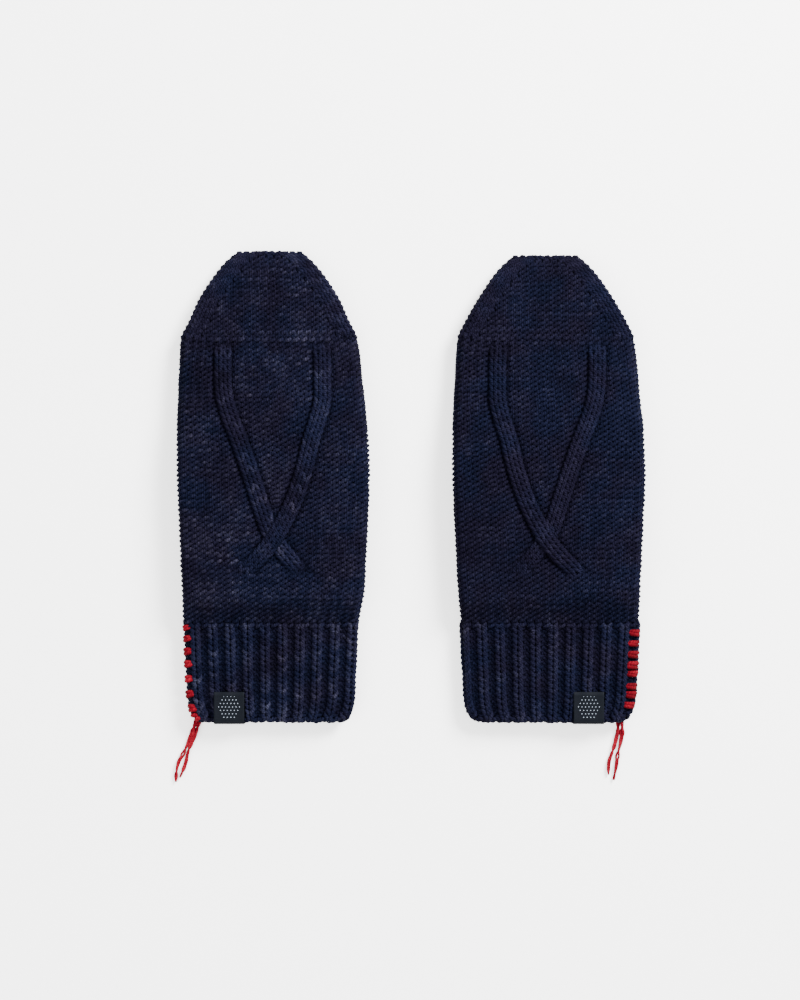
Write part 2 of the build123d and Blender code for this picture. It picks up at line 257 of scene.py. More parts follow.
class SmoothLine:
    """A smooth curve through a few chosen points, with no overshoot between them."""

    def __init__(self, points: list[tuple[float, float]]) -> None:
        """Keeps the points and works out a slope at each.

        Args:
            points: Place and height of each point, in order of place.
        """
        self.x = np.array([p[0] for p in points], float)
        self.y = np.array([p[1] for p in points], float)
        step = np.diff(self.y) / np.diff(self.x)
        slope = np.zeros(len(self.x))
        slope[1:-1] = (step[:-1] + step[1:]) / 2
        slope[0], slope[-1] = step[0], step[-1]
        turning = np.zeros(len(self.x), bool)
        turning[1:-1] = step[:-1] * step[1:] <= 0
        slope[turning] = 0.0
        self.slope = slope

    def __call__(self, value: Array | float) -> Array:
        """Gives the curve's height, which is level beyond its ends.

        Args:
            value: Places along the curve.

        Returns:
            The height at each place.
        """
        x = np.clip(np.asarray(value, float), self.x[0], self.x[-1])
        i = np.clip(np.searchsorted(self.x, x, side="right") - 1, 0, len(self.x) - 2)
        gap = self.x[i + 1] - self.x[i]
        t = (x - self.x[i]) / gap
        a = (1 + 2 * t) * (1 - t) ** 2 * self.y[i] + t * (1 - t) ** 2 * gap * self.slope[i]
        b = t * t * (3 - 2 * t) * self.y[i + 1] + t * t * (t - 1) * gap * self.slope[i + 1]
        return a + b


# ---------------------------------------------------------------- materials


class NodeSheet:
    """A material's node tree, filled one node at a time."""

    def __init__(self, name: str) -> None:
        """Makes an empty material with an output.

        Args:
            name: The material's name.
        """
        self.material = bpy.data.materials.new(name)
        self.material.use_nodes = True
        self.tree = self.material.node_tree
        self.tree.nodes.clear()
        self.output = self.add("ShaderNodeOutputMaterial", {}, {})

    def add(self, kind: str, settings: dict, links: dict) -> bpy.types.Node:
        """Adds one node.

        Args:
            kind: Blender's name for the kind of node.
            settings: Values by property name, or by socket name or index.
            links: Output sockets by the name or index of the input that they feed.

        Returns:
            The new node.
        """
        node = self.tree.nodes.new(kind)
        for key, value in settings.items():
            if isinstance(key, str) and hasattr(node, key):
                setattr(node, key, value)
            else:
                node.inputs[key].default_value = value
        for key, socket in links.items():
            self.tree.links.new(socket, node.inputs[key])
        return node

    def ramp(
        self, factor: bpy.types.NodeSocket, stops: tuple[tuple[float, str], ...]
    ) -> bpy.types.NodeSocket:
        """Adds a colour ramp.

        Args:
            factor: What chooses the colour.
            stops: Place and sRGB hex colour of each stop.

        Returns:
            The chosen colour.
        """
        node = self.add("ShaderNodeValToRGB", {}, {0: factor})
        band = node.color_ramp
        while len(band.elements) < len(stops):
            band.elements.new(0.5)
        for element, (place, code) in zip(band.elements, stops):
            element.position = place
            element.color = linear(code)
        return node.outputs["Color"]

    def surface(self, shader: bpy.types.Node) -> bpy.types.Material:
        """Joins a shader to the output and gives the finished material."""
        self.tree.links.new(shader.outputs[0], self.output.inputs["Surface"])
        return self.material


@dataclass(frozen=True)
class SpunYarn:
    """Hand-dyed worsted wool, spun and plied: a matt yarn with no highlight of its own.

    The plies' grooves and the loose fibres break the light up, and the uneven dye gives
    flecks along each yarn and slow changes of hue over the whole fabric. Its tone also
    carries painted shade in hollows and painted light on raised loops and ribs.
    """

    name: str
    shades: tuple[tuple[float, str], ...]
    other_shades: tuple[tuple[float, str], ...]
    ply_pitch_mm: float = 2.2
    fibre_mm: float = 0.18
    patch_mm: float = 26.0
    roughness: float = 0.88
    specular: float = 0.03
    sheen: float = 0.004
    sheen_tint: str = "5a6690"

    def build(self) -> bpy.types.Material:
        """Makes the yarn's material.

        The dye follows the yarn's own length, so that flecks run across the rows. Twisted
        plies show as slanted grooves, and fine fibres break up the light along them.

        Returns:
            The material.
        """
        sheet = NodeSheet(self.name)
        place = sheet.add("ShaderNodeTexCoord", {}, {})
        # The tone attribute holds the dye, and on some fabrics painted shade and painted light as well
        dye = sheet.add("ShaderNodeAttribute", {"attribute_name": "tone"}, {})
        fibres = sheet.add(
            "ShaderNodeTexNoise",
            {"Scale": 1.0 / (self.fibre_mm * 5 * MM), "Detail": 4.0, "Roughness": 0.6},
            {"Vector": place.outputs["Object"]},
        )
        mixed = sheet.add(
            "ShaderNodeMath",
            {"operation": "MULTIPLY_ADD", 1: 0.9, 2: -0.45},
            {0: fibres.outputs["Fac"]},
        )
        shade = sheet.add(
            "ShaderNodeMath", {"operation": "ADD"}, {0: dye.outputs["Fac"], 1: mixed.outputs[0]}
        )
        bath = sheet.add(
            "ShaderNodeTexNoise",
            {"Scale": 1.0 / (self.patch_mm * MM), "Detail": 3.0, "Roughness": 0.6},
            {"Vector": place.outputs["Object"]},
        )
        choice = sheet.add(
            "ShaderNodeMapRange", {"From Min": 0.40, "From Max": 0.60}, {"Value": bath.outputs["Fac"]}
        )
        colour = sheet.add(
            "ShaderNodeMixRGB",
            {},
            {
                "Fac": choice.outputs[0],
                "Color1": sheet.ramp(shade.outputs[0], self.shades),
                "Color2": sheet.ramp(shade.outputs[0], self.other_shades),
            },
        ).outputs[0]
        along = sheet.add("ShaderNodeUVMap", {"uv_map": "yarn"}, {})
        split = sheet.add("ShaderNodeSeparateXYZ", {}, {0: along.outputs["UV"]})
        turn = sheet.add(
            "ShaderNodeMath",
            {"operation": "MULTIPLY_ADD", 1: 1.0 / self.ply_pitch_mm},
            {0: split.outputs["X"], 2: split.outputs["Y"]},
        )
        wave = sheet.add(
            "ShaderNodeMath", {"operation": "MULTIPLY", 1: 4.0 * math.pi}, {0: turn.outputs[0]}
        )
        plies = sheet.add("ShaderNodeMath", {"operation": "SINE"}, {0: wave.outputs[0]})
        twist = sheet.add(
            "ShaderNodeBump",
            {"Strength": 0.55, "Distance": 0.35 * MM},
            {"Height": plies.outputs[0]},
        )
        hair = sheet.add(
            "ShaderNodeTexNoise",
            {"Scale": 1.0 / (self.fibre_mm * MM), "Detail": 3.0},
            {"Vector": place.outputs["Object"]},
        )
        fuzz = sheet.add(
            "ShaderNodeBump",
            {"Strength": 0.5, "Distance": 0.12 * MM},
            {"Height": hair.outputs["Fac"], "Normal": twist.outputs["Normal"]},
        )
        shader = sheet.add(
            "ShaderNodeBsdfPrincipled",
            {
                "Roughness": self.roughness,
                "IOR": 1.54,
                "Specular IOR Level": self.specular,
                "Sheen Weight": self.sheen,
                "Sheen Roughness": 0.5,
                "Sheen Tint": linear(self.sheen_tint),
            },
            {"Base Color": colour, "Normal": fuzz.outputs["Normal"]},
        )
        return sheet.surface(shader)


@dataclass(frozen=True)
class InnerKnit:
    """The inside of the knit, seen through the gaps and where the fabric folds back.

    It stands for a close, matted layer of the same wool, painted darker than the yarn as shade.
    Its stitches are in relief, and their hollows are painted near black as shade, so that
    the gaps between the yarns look deep.
    """

    name: str
    dark: str
    light: str

    def build(self) -> bpy.types.Material:
        """Makes the material: slanted legs in columns, one column and one row to a UV unit.

        Returns:
            The material.
        """
        sheet = NodeSheet(self.name)
        grid = sheet.add("ShaderNodeUVMap", {"uv_map": "stitches"}, {})
        split = sheet.add("ShaderNodeSeparateXYZ", {}, {0: grid.outputs["UV"]})
        leg = sheet.add(
            "ShaderNodeMath", {"operation": "PINGPONG", 1: 0.5}, {0: split.outputs["X"]}
        )
        slant = sheet.add(
            "ShaderNodeMath",
            {"operation": "MULTIPLY_ADD", 1: 1.3},
            {0: leg.outputs[0], 2: split.outputs["Y"]},
        )
        turns = sheet.add(
            "ShaderNodeMath", {"operation": "MULTIPLY", 1: 2 * math.pi}, {0: slant.outputs[0]}
        )
        rows = sheet.add("ShaderNodeMath", {"operation": "SINE"}, {0: turns.outputs[0]})
        across = sheet.add(
            "ShaderNodeMath", {"operation": "MULTIPLY", 1: 4 * math.pi}, {0: split.outputs["X"]}
        )
        columns = sheet.add("ShaderNodeMath", {"operation": "COSINE"}, {0: across.outputs[0]})
        relief = sheet.add(
            "ShaderNodeMath",
            {"operation": "MULTIPLY_ADD", 1: -0.7},
            {0: columns.outputs[0], 2: rows.outputs[0]},
        )
        height = sheet.add(
            "ShaderNodeMapRange", {"From Min": -1.7, "From Max": 1.7}, {"Value": relief.outputs[0]}
        )
        # Painted shade and light by height: dark in the hollows between the stitches, light on the
        # raised legs
        colour = sheet.ramp(height.outputs[0], ((0.3, self.dark), (0.9, self.light)))
        stitches = sheet.add(
            "ShaderNodeBump", {"Strength": 1.0, "Distance": 0.9 * MM}, {"Height": height.outputs[0]}
        )
        place = sheet.add("ShaderNodeTexCoord", {}, {})
        hair = sheet.add(
            "ShaderNodeTexNoise", {"Scale": 1500.0}, {"Vector": place.outputs["Object"]}
        )
        fuzz = sheet.add(
            "ShaderNodeBump",
            {"Strength": 0.6, "Distance": 0.25 * MM},
            {"Height": hair.outputs["Fac"], "Normal": stitches.outputs["Normal"]},
        )
        shader = sheet.add(
            "ShaderNodeBsdfPrincipled",
            {"Roughness": 0.95, "Specular IOR Level": 0.02},
            {"Base Color": colour, "Normal": fuzz.outputs["Normal"]},
        )
        return sheet.surface(shader)


@dataclass(frozen=True)
class WovenTape:
    """Woven label tape: fine polyester threads in a close plain weave.

    It is flatter and smoother than the wool round it, with a faint even grid.
    """

    name: str
    dark: str
    light: str
    thread_mm: float = 0.45

    def build(self) -> bpy.types.Material:
        """Makes the tape's material.

        Real label threads are about 0.15 mm apart, which is too fine to show, so they are
        drawn three times as coarse.

        Returns:
            The material.
        """
        sheet = NodeSheet(self.name)
        place = sheet.add("ShaderNodeTexCoord", {}, {})
        waves = []
        for axis in ("X", "Y"):
            waves.append(
                sheet.add(
                    "ShaderNodeTexWave",
                    {
                        "wave_type": "BANDS",
                        "bands_direction": axis,
                        "Scale": 0.314 / (self.thread_mm * MM),
                        "Distortion": 0.4,
                    },
                    {"Vector": place.outputs["Object"]},
                )
            )
        weave = sheet.add(
            "ShaderNodeMath",
            {"operation": "MULTIPLY"},
            {0: waves[0].outputs["Fac"], 1: waves[1].outputs["Fac"]},
        )
        colour = sheet.ramp(weave.outputs[0], ((0.1, self.dark), (0.8, self.light)))
        relief = sheet.add(
            "ShaderNodeBump", {"Strength": 0.5, "Distance": 0.08 * MM}, {"Height": weave.outputs[0]}
        )
        shader = sheet.add(
            "ShaderNodeBsdfPrincipled",
            {"Roughness": 0.7, "IOR": 1.57, "Specular IOR Level": 0.05},
            {"Base Color": colour, "Normal": relief.outputs["Normal"]},
        )
        return sheet.surface(shader)


@dataclass(frozen=True)
class StudioSheet:
    """A matt white paper sweep, lit from below until it is almost free of shadow."""

    name: str
    colour: str
    glow: float = 1.2

    def build(self) -> bpy.types.Material:
        """Makes the paper's material, with a barely visible tooth.

        Returns:
            The material.
        """
        sheet = NodeSheet(self.name)
        place = sheet.add("ShaderNodeTexCoord", {}, {})
        tooth = sheet.add(
            "ShaderNodeTexNoise", {"Scale": 400.0}, {"Vector": place.outputs["Object"]}
        )
        grain = sheet.add(
            "ShaderNodeBump", {"Strength": 0.05, "Distance": 0.1 * MM}, {"Height": tooth.outputs["Fac"]}
        )
        shader = sheet.add(
            "ShaderNodeBsdfPrincipled",
            {
                "Base Color": linear(self.colour),
                "Roughness": 0.9,
                "Specular IOR Level": 0.1,
                "Emission Color": linear(self.colour),
                "Emission Strength": self.glow,
            },
            {"Normal": grain.outputs["Normal"]},
        )
        return sheet.surface(shader)


@dataclass
class Finishes:
    """Every material of the pair."""

    navy: bpy.types.Material
    red: bpy.types.Material
    inside: bpy.types.Material
    tape: bpy.types.Material
    dots: bpy.types.Material

    @classmethod
    def build(cls) -> "Finishes":
        """Makes each material once.

        Returns:
            All of them.
        """
        # Navy: near black for the deepest dye and the painted shade in hollows, slate blue where the
        # dye took less and for painted light
        navy = SpunYarn(
            "hand_dyed_navy_wool",
            ((0.0, "02030e"), (0.3, "050716"), (0.55, "0a0c1d"), (0.8, "171827"), (1.0, "2a2b3b")),
            ((0.0, "04030c"), (0.3, "080613"), (0.55, "0e0c1a"), (0.8, "1b1926"), (1.0, "2e2b3a")),
        )
        # Scarlet, in a thinner and looser twist, with a little more bloom on it
        red = SpunYarn(
            "red_seaming_wool",
            ((0.0, "360208"), (0.3, "50040e"), (0.6, "700a18"), (1.0, "9c2432")),
            ((0.0, "3c0409"), (0.3, "580712"), (0.6, "78101f"), (1.0, "a42c3a")),
            ply_pitch_mm=2.6,
            sheen=0.01,
            sheen_tint="ff7070",
        )
        # The same wool in painted shade, dark enough to look like depth between the yarns
        inside = InnerKnit("navy_inside_painted_shade", "020309", "121628")
        # Black tape with a cool cast, flatter than the wool that it lies on
        tape = WovenTape("slate_label_tape", "05070b", "0a0e17")
        # Off-white thread, the only pale thing on a mitten
        dots = WovenTape("white_label_thread", "6c7480", "a8b0ba")
        return cls(navy.build(), red.build(), inside.build(), tape.build(), dots.build())


# ---------------------------------------------------------------- yarn and fabric


class YarnBundle:
    """Collects round yarns and joins them into one mesh."""

    def __init__(self, sides: int = 5) -> None:
        """Starts an empty bundle.

        Args:
            sides: Number of flat sides round each yarn.
        """
        self.sides = sides
        self.points: list[Array] = []
        self.faces: list[Array] = []
        self.caps: list[Array] = []
        self.uvs: list[Array] = []
        self.tones: list[Array] = []
        self.count = 0

    def add(self, line: Array, outward: Array, radius: Array | float, tone: Array) -> None:
        """Adds one yarn.

        Args:
            line: Points along the yarn, in metres.
            outward: The fabric's outward direction at each point.
            radius: The yarn's radius in metres, at each point or overall.
            tone: The dye's depth at each point, with painted light and shade added on some fabrics,
                from 0 to 1.
        """
        n, k = len(line), self.sides
        tangent = np.gradient(line, axis=0)
        tangent /= np.linalg.norm(tangent, axis=1, keepdims=True) + 1e-12
        up = outward - np.sum(outward * tangent, axis=1, keepdims=True) * tangent
        up /= np.linalg.norm(up, axis=1, keepdims=True) + 1e-12
        side = np.cross(tangent, up)
        turn = np.arange(k) * 2 * math.pi / k
        size = np.broadcast_to(np.asarray(radius, float), (n,))[:, None, None]
        ring = up[:, None] * np.cos(turn)[None, :, None] + side[:, None] * np.sin(turn)[None, :, None]
        self.points.append((line[:, None] + size * ring).reshape(-1, 3))
        i, j = np.meshgrid(np.arange(n - 1), np.arange(k), indexing="ij")
        nxt = (j + 1) % k
        quads = np.stack([i * k + j, i * k + nxt, (i + 1) * k + nxt, (i + 1) * k + j], axis=-1)
        self.faces.append(quads.reshape(-1, 4) + self.count)
        self.caps.append(np.arange(k)[::-1] + self.count)
        self.caps.append(np.arange(k) + (n - 1) * k + self.count)
        run = travelled(line) / MM
        u = np.stack([run[i], run[i], run[i + 1], run[i + 1]], axis=-1)
        v = np.stack([j, j + 1, j + 1, j], axis=-1) / k
        self.uvs.append(np.stack([u, v], axis=-1).reshape(-1, 2))
        self.tones.append(np.repeat(np.broadcast_to(tone, (n,)), k))
        self.count += n * k

    def build(self, name: str, material: bpy.types.Material) -> bpy.types.Object:
        """Makes the mesh object.

        Args:
            name: The piece's name.
            material: Its finish.

        Returns:
            The new object.
        """
        points = np.concatenate(self.points)
        quads = np.concatenate(self.faces)
        caps = np.array(self.caps)
        mesh = bpy.data.meshes.new(name)
        mesh.vertices.add(len(points))
        mesh.vertices.foreach_set("co", points.astype(np.float32).ravel())
        corners = np.concatenate([quads.ravel(), caps.ravel()])
        sizes = np.concatenate([np.full(len(quads), 4), np.full(len(caps), self.sides)])
        starts = np.concatenate([[0], np.cumsum(sizes)[:-1]])
        mesh.loops.add(len(corners))
        mesh.loops.foreach_set("vertex_index", corners.astype(np.int32))
        mesh.polygons.add(len(sizes))
        mesh.polygons.foreach_set("loop_start", starts.astype(np.int32))
        mesh.polygons.foreach_set("loop_total", sizes.astype(np.int32))
        mesh.polygons.foreach_set("use_smooth", np.ones(len(sizes), bool))
        mesh.update(calc_edges=True)
        layer = mesh.uv_layers.new(name="yarn")
        flat = np.zeros((len(corners), 2), np.float32)
        flat[: quads.size] = np.concatenate(self.uvs)
        layer.data.foreach_set("uv", flat.ravel())
        tone = mesh.attributes.new("tone", "FLOAT", "POINT")
        tone.data.foreach_set("value", np.concatenate(self.tones).astype(np.float32))
        mesh.materials.append(material)
        piece = bpy.data.objects.new(name, mesh)
        bpy.context.scene.collection.objects.link(piece)
        return piece


@dataclass
class FlatTube:
    """A flattened knitted tube lying on the table, as a place for yarns.

    A place on it is given by its distance across from the centre line, following the
    fabric, by its height from the start of the tube, and by its distance out of the fabric.
    A station is a height with the half width, underside and top there. The inset is the
    depth of the fabric's middle, the crown is how much of the depth is a gentle hump, and
    the sway is how far the centre line lies aside at a few heights.
    """

    origin: tuple[float, float]
    hand: float
    stations: list[tuple[float, float, float, float]]
    inset: float = 1.5
    crown: float = 0.22
    turn: float = 0.0
    seed: int = 0
    waviness: float = 0.35
    side_inset: float = 0.2
    sway: tuple[tuple[float, float], ...] = ((0.0, 0.0), (1.0, 0.0))

    def __post_init__(self) -> None:
        """Makes smooth lines for the half width, underside and top."""
        self.width = SmoothLine([(y, w) for y, w, _, _ in self.stations])
        self.low = SmoothLine([(y, low) for y, _, low, _ in self.stations])
        self.top = SmoothLine([(y, top) for y, _, _, top in self.stations])
        self.lean = SmoothLine(list(self.sway))

    def depth(self, y: Array) -> Array:
        """Gives half the distance between the two middle surfaces."""
        return np.maximum((self.top(y) - self.low(y)) / 2 - self.inset, 0.4)

    def side_radius(self, y: Array) -> Array:
        """Gives the radius of the rounded side."""
        return self.depth(y) * (1 - self.crown)

    def flat_half(self, y: Array) -> Array:
        """Gives the distance from the centre line to where the side starts to round."""
        return self.width(y) - self.side_inset - self.side_radius(y)

    def reach(self, y: Array) -> Array:
        """Gives the distance across, following the fabric, from the centre line to the side."""
        return self.flat_half(y) + self.side_radius(y) * math.pi / 2

    def round_to_palm(self, s: Array, y: Array) -> Array:
        """Carries places across the back round the sides, to the palm right behind them."""
        return np.where(s < 0, -1.0, 1.0) * (2 * self.reach(y) - np.abs(s))

    def place(self, s: Array, y: Array, out: Array) -> tuple[Array, Array]:
        """Turns places on the tube into the row frame.

        Args:
            s: Distance across, in mm. Past the side it goes on along the palm.
            y: Height from the start of the tube, in mm.
            out: Distance out of the fabric, in mm.

        Returns:
            Points in metres, and outward directions.
        """
        s, y, out = np.broadcast_arrays(np.asarray(s, float), y, out)
        reach, flat, radius = self.reach(y), self.flat_half(y), self.side_radius(y)
        under = np.abs(s) > reach
        across = np.where(under, 2 * reach - np.abs(s), np.abs(s))
        face = np.where(under, -1.0, 1.0)
        way = np.where(s < 0, -1.0, 1.0)
        angle = np.clip((across - flat) / radius, 0.0, math.pi / 2)
        inner = np.minimum(across, flat)
        crowned = self.depth(y) - radius
        x = inner + (radius + out) * np.sin(angle)
        rise = radius * np.cos(angle) + crowned * (1 - np.clip(across / flat, 0, 1) ** 3)
        soft = 0.35 * patches(x * way, y, 24.0, self.seed + 3) * (face > 0)
        z = (self.low(y) + self.top(y)) / 2 + face * (rise + out * np.cos(angle)) + soft
        x = x * (1 + self.waviness * 0.01 * drift(y + 300 * (way > 0), 7.0, self.seed))
        normal = np.stack([way * np.sin(angle), np.zeros_like(x), face * np.cos(angle)], -1)
        return self.to_row(way * x, y, z), self.turned(normal)

    def turned(self, vector: Array) -> Array:
        """Turns directions on the tube into the row frame.

        Args:
            vector: Directions across, up and out of the tube.

        Returns:
            The same directions in the row frame.
        """
        c, n = math.cos(self.turn), math.sin(self.turn)
        x = self.hand * vector[..., 0]
        return np.stack([c * x - n * vector[..., 1], n * x + c * vector[..., 1], vector[..., 2]], -1)

    def to_row(self, x: Array, y: Array, z: Array) -> Array:
        """Turns local millimetres into metres in the row frame.

        Args:
            x: Distance across from the centre line.
            y: Height from the start of the tube.
            z: Height above the table.

        Returns:
            Points in metres.
        """
        local = self.turned(np.stack([x, np.broadcast_to(y, np.shape(x)), z], -1))
        local[..., 0] += self.lean(np.broadcast_to(y, np.shape(x)))
        return (local + np.array([self.origin[0], self.origin[1], 0.0])) * MM


@dataclass
class LoopShape:
    """The shape of one stitch.

    The overhang, the sideways swing of its legs, is a share of the stitch's width. Its
    height and lean are shares of the row's height, and its relief is in mm. Flatness
    squares off the arches, and samples is the number of points along a stitch.
    """

    overhang: float = 0.25
    height: float = 0.80
    lean: float = 0.0
    relief: float = 0.6
    flatness: float = 0.0
    samples: int = 10

    def row(self, faces: Array) -> tuple[Array, Array, Array]:
        """Follows one yarn through a row of stitches.

        Args:
            faces: For each stitch, 1 where it is knit and -1 where it is purled.

        Returns:
            Place across in stitches, height in rows, and relief out of the fabric in mm.
        """
        count = len(faces)
        t = np.linspace(-math.pi, math.pi * (2 * count - 1), count * self.samples + 1)
        index = np.clip(np.floor((t + math.pi) / (2 * math.pi) + 1e-9), 0, count - 1).astype(int)
        local = t - index * 2 * math.pi
        across = t / (2 * math.pi) + self.overhang * np.sin(2 * t)
        arch = (np.cos(t) - self.flatness * np.cos(3 * t)) / (1 - self.flatness)
        height = self.height * arch + self.lean * np.sin(2 * t)
        sign = faces[index]
        before = faces[np.clip(index - 1, 0, count - 1)]
        after = faces[np.clip(index + 1, 0, count - 1)]
        near = np.where(local < 0, before, after)
        share = ease(0.55 * math.pi, math.pi, np.abs(local)) * 0.5
        relief = -self.relief * np.cos(2 * t) * (sign * (1 - share) + near * share)
        return across, height, relief


@dataclass(frozen=True)
class Skein:
    """The wool of one mitten: how deep and how evenly it took the dye.

    A tone of 0 is the deepest dye and 1 is the palest.
    """

    seed: int
    middle: float
    contrast: float

    def tone(self, across: Array, along: Array, row: int, part: int) -> Array:
        """Gives the dye along one row of yarn.

        Args:
            across: Places across the fabric, in mm.
            along: Places up the fabric, in mm.
            row: The row's number, so that each row takes its own length of the yarn.
            part: The number of the fabric.

        Returns:
            Tones from 0 to 1.
        """
        seed = self.seed + part
        yarn_per_mm, yarn_per_row = 2.2, 331.0
        run = across * yarn_per_mm + row * yarn_per_row
        fleck = 0.20 * drift(run, 9.0, seed) + 0.12 * drift(run, 3.0, seed + 1)
        slow = 0.11 * drift(run, 60.0, seed + 2) + 0.10 * patches(across, along, 19.0, seed + 4)
        return np.clip(self.middle + self.contrast * (fleck + slow), 0.0, 1.0)


@dataclass
class Gauge:
    """The size of the stitches and the yarn."""

    wales_around: int = 46
    row_mm: float = 2.7
    yarn_radius: float = 1.02

    def spacing(self, reach: float) -> float:
        """Gives the width of a wale where the side is this far from the centre line."""
        return reach / (self.wales_around / 4.0)

    def wales(self) -> Array:
        """Gives the numbers of the wales on one face, 0 at the centre line."""
        half = self.wales_around // 4
        return np.arange(-half, half + 1)


# ---------------------------------------------------------------- one mitten


Route = tuple[tuple[float, float, float], ...]


@dataclass(frozen=True)
class Seam:
    """The whipstitches of one cuff, sewn by hand and so uneven, from the hem upwards.

    Each stitch has its height and a share of the usual size. All reach this far inward
    over the cuff's edge, at this slant, in this depth of dye.
    """

    heights: tuple[float, ...]
    sizes: tuple[float, ...]
    inward: float
    slant: float
    dye: float


@dataclass(frozen=True)
class Handwork:
    """What tells one mitten of the pair from the other, in mm.

    A tail's route is given by points across from the centre line, up from the hem, and
    above the table. The tip drop shortens the mitten, the cuff extra widens its cuff, the
    cuff lean moves the cuff to the right, and the rib start moves the ribs round it. The
    sway is how far the hand and then the tip lie to the right, and the cable shift moves
    both cables to the right.
    """

    skein: Skein
    seam: Seam
    tails: dict[str, Route]
    tail_dye: float
    tip_drop: float
    cuff_extra: float
    cuff_lean: float
    rib_start: float
    sway: tuple[float, float]
    cable_shift: float


HANDWORK = {
    Side.LEFT: Handwork(
        skein=Skein(11, 0.42, 1.0),
        seam=Seam(
            heights=(1.8, 6.8, 14.2, 22.5, 30.5, 37.2, 44.0, 49.8),
            sizes=(1.1, 1.1, 1.0, 0.95, 0.95, 1.0, 0.75, 0.6),
            inward=4.5,
            slant=1.3,
            dye=0.36,
        ),
        tails={
            "long": (
                (-41.2, 2.5, 3.4),
                (-43.0, -4.6, 2.2),
                (-45.8, -11.2, 0.7),
                (-48.4, -17.6, 0.7),
                (-52.6, -24.6, 0.7),
                (-52.8, -33.4, 0.7),
            ),
            "short": (
                (-39.4, 2.5, 1.8),
                (-41.0, -4.2, 1.5),
                (-43.6, -10.8, 0.8),
                (-46.4, -17.2, 0.7),
                (-47.6, -24.6, 0.7),
                (-50.6, -31.0, 0.7),
            ),
        },
        tail_dye=0.62,
        tip_drop=0.0,
        cuff_extra=0.3,
        cuff_lean=-1.6,
        rib_start=0.0,
        sway=(0.5, -2.1),
        cable_shift=0.0,
    ),
    Side.RIGHT: Handwork(
        skein=Skein(57, 0.36, 0.75),
        seam=Seam(
            heights=(8.4, 14.0, 18.6, 25.4, 30.0, 35.6, 41.6, 47.2),
            sizes=(0.8, 1.0, 0.85, 0.8, 1.15, 1.0, 0.75, 0.9),
            inward=6.0,
            slant=0.7,
            dye=0.2,
        ),
        tails={
            "long": (
                (41.6, 2.5, 3.4),
                (42.2, -4.6, 2.6),
                (41.4, -12.0, 1.0),
                (39.6, -18.6, 0.7),
                (39.0, -25.6, 0.7),
                (37.4, -32.4, 0.7),
            ),
            "short": (
                (39.6, 2.5, 1.8),
                (40.2, -3.6, 1.4),
                (38.8, -10.6, 0.8),
                (37.0, -17.0, 0.7),
                (34.4, -23.4, 0.7),
                (34.8, -29.6, 0.7),
            ),
        },
        tail_dye=0.5,
        tip_drop=2.2,
        cuff_extra=0.95,
        cuff_lean=0.95,
        rib_start=2.4,
        sway=(1.9, 0.5),
        cable_shift=1.2,
    ),
}


@dataclass
class Sizes:
    """Sizes of one mitten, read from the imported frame, in mm from its hem and centre line."""

    side: Side
    hand: float
    centre: float
    hem: float
    cuff_top: float
    fold: float
    shoulder: float
    tip: float
    widest: float
    wrist: float
    tip_half: float
    cuff_thick: float
    palm_low: float
    hand_top: float
    hood_low: float
    palm_rib: float
    hood_rib_start: float
    hood_rib_end: float
    thumb: tuple[float, float]
    thumb_thick: float

    @classmethod
    def read(cls, side: Side, joints: list[dict]) -> "Sizes":
        """Reads one mitten's sizes.

        Args:
            side: Which mitten.
            joints: The frame's joints.

        Returns:
            Its sizes.
        """

        def corners(node: str) -> tuple[Array, Array]:
            """Gives the lowest and highest corner of a node, in mm."""
            low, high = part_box(f"{side.value}_{node}")
            return np.array(low) / MM, np.array(high) / MM

        tip_half = 17.5
        lap_stack = 7.74  # from the hood's underside to the top of the rib that laps under the palm
        cuff, back, hood = corners("cuff"), corners("hand_back"), corners("hood_back")
        rib, lap, bands = (corners(node) for node in ("palm_rib", "hood_rib", "tip_bands"))
        fold = next(j for j in joints if j["name"] == f"{side.value}_hood_fold")
        swing = next(j for j in joints if j["name"] == f"{side.value}_thumb_swing")
        hand = 1.0 if side is Side.LEFT else -1.0
        centre, hem = float(cuff[0][0] + cuff[1][0]) / 2, float(cuff[0][1])
        pivot = np.array(swing["pos_m"]) / MM
        return cls(
            side=side,
            hand=hand,
            centre=centre,
            hem=hem,
            cuff_top=float(cuff[1][1]) - hem,
            fold=fold["pos_m"][1] / MM - hem,
            shoulder=float(bands[0][1]) - hem,
            tip=float(hood[1][1]) - hem - HANDWORK[side].tip_drop,
            widest=float(back[1][0] - back[0][0]) / 2,
            wrist=float(cuff[1][0] - cuff[0][0]) / 2,
            tip_half=tip_half,
            cuff_thick=float(cuff[1][2]),
            palm_low=float(rib[0][2]),
            hand_top=float(back[1][2]),
            hood_low=float(lap[1][2]) - lap_stack,
            palm_rib=float(rib[0][1]) - hem,
            hood_rib_start=float(lap[0][1]) - hem,
            hood_rib_end=float(lap[1][1]) - hem,
            thumb=(float(pivot[0]), float(pivot[1])),
            thumb_thick=float(corners("thumb")[1][2]),
        )


def outline(size: Sizes) -> list[tuple[float, float]]:
    """Draws the outline of a mitten that lies flat.

    Args:
        size: The mitten's sizes.

    Returns:
        Height and half width at a few places, hem to tip.
    """
    cuff = size.wrist + HANDWORK[size.side].cuff_extra
    return [
        (0.0, cuff - 8.6),
        (1.2, cuff - 6.8),
        (3.6, cuff - 4.8),
        (8.0, cuff - 3.1),
        (size.cuff_top * 0.5, cuff - 1.6),
        (size.cuff_top, cuff - 0.2),
        (size.cuff_top + 14.0, size.wrist + 1.6),
        (size.fold - 42.0, size.widest - 1.4),
        (size.fold - 12.0, size.widest - 0.3),
        (size.fold + 9.0, size.widest - 0.7),
        (size.fold + 28.0, size.widest - 2.0),
        (size.shoulder - 5.0, size.widest - 4.0),
        (size.shoulder + 1.0, size.widest - 5.0),
        (size.shoulder + 8.0, size.widest - 8.6),
        (size.tip - 24.0, 36.4),
        (size.tip - 12.0, 28.6),
        (size.tip - 4.0, 22.0),
        (size.tip, size.tip_half),
    ]


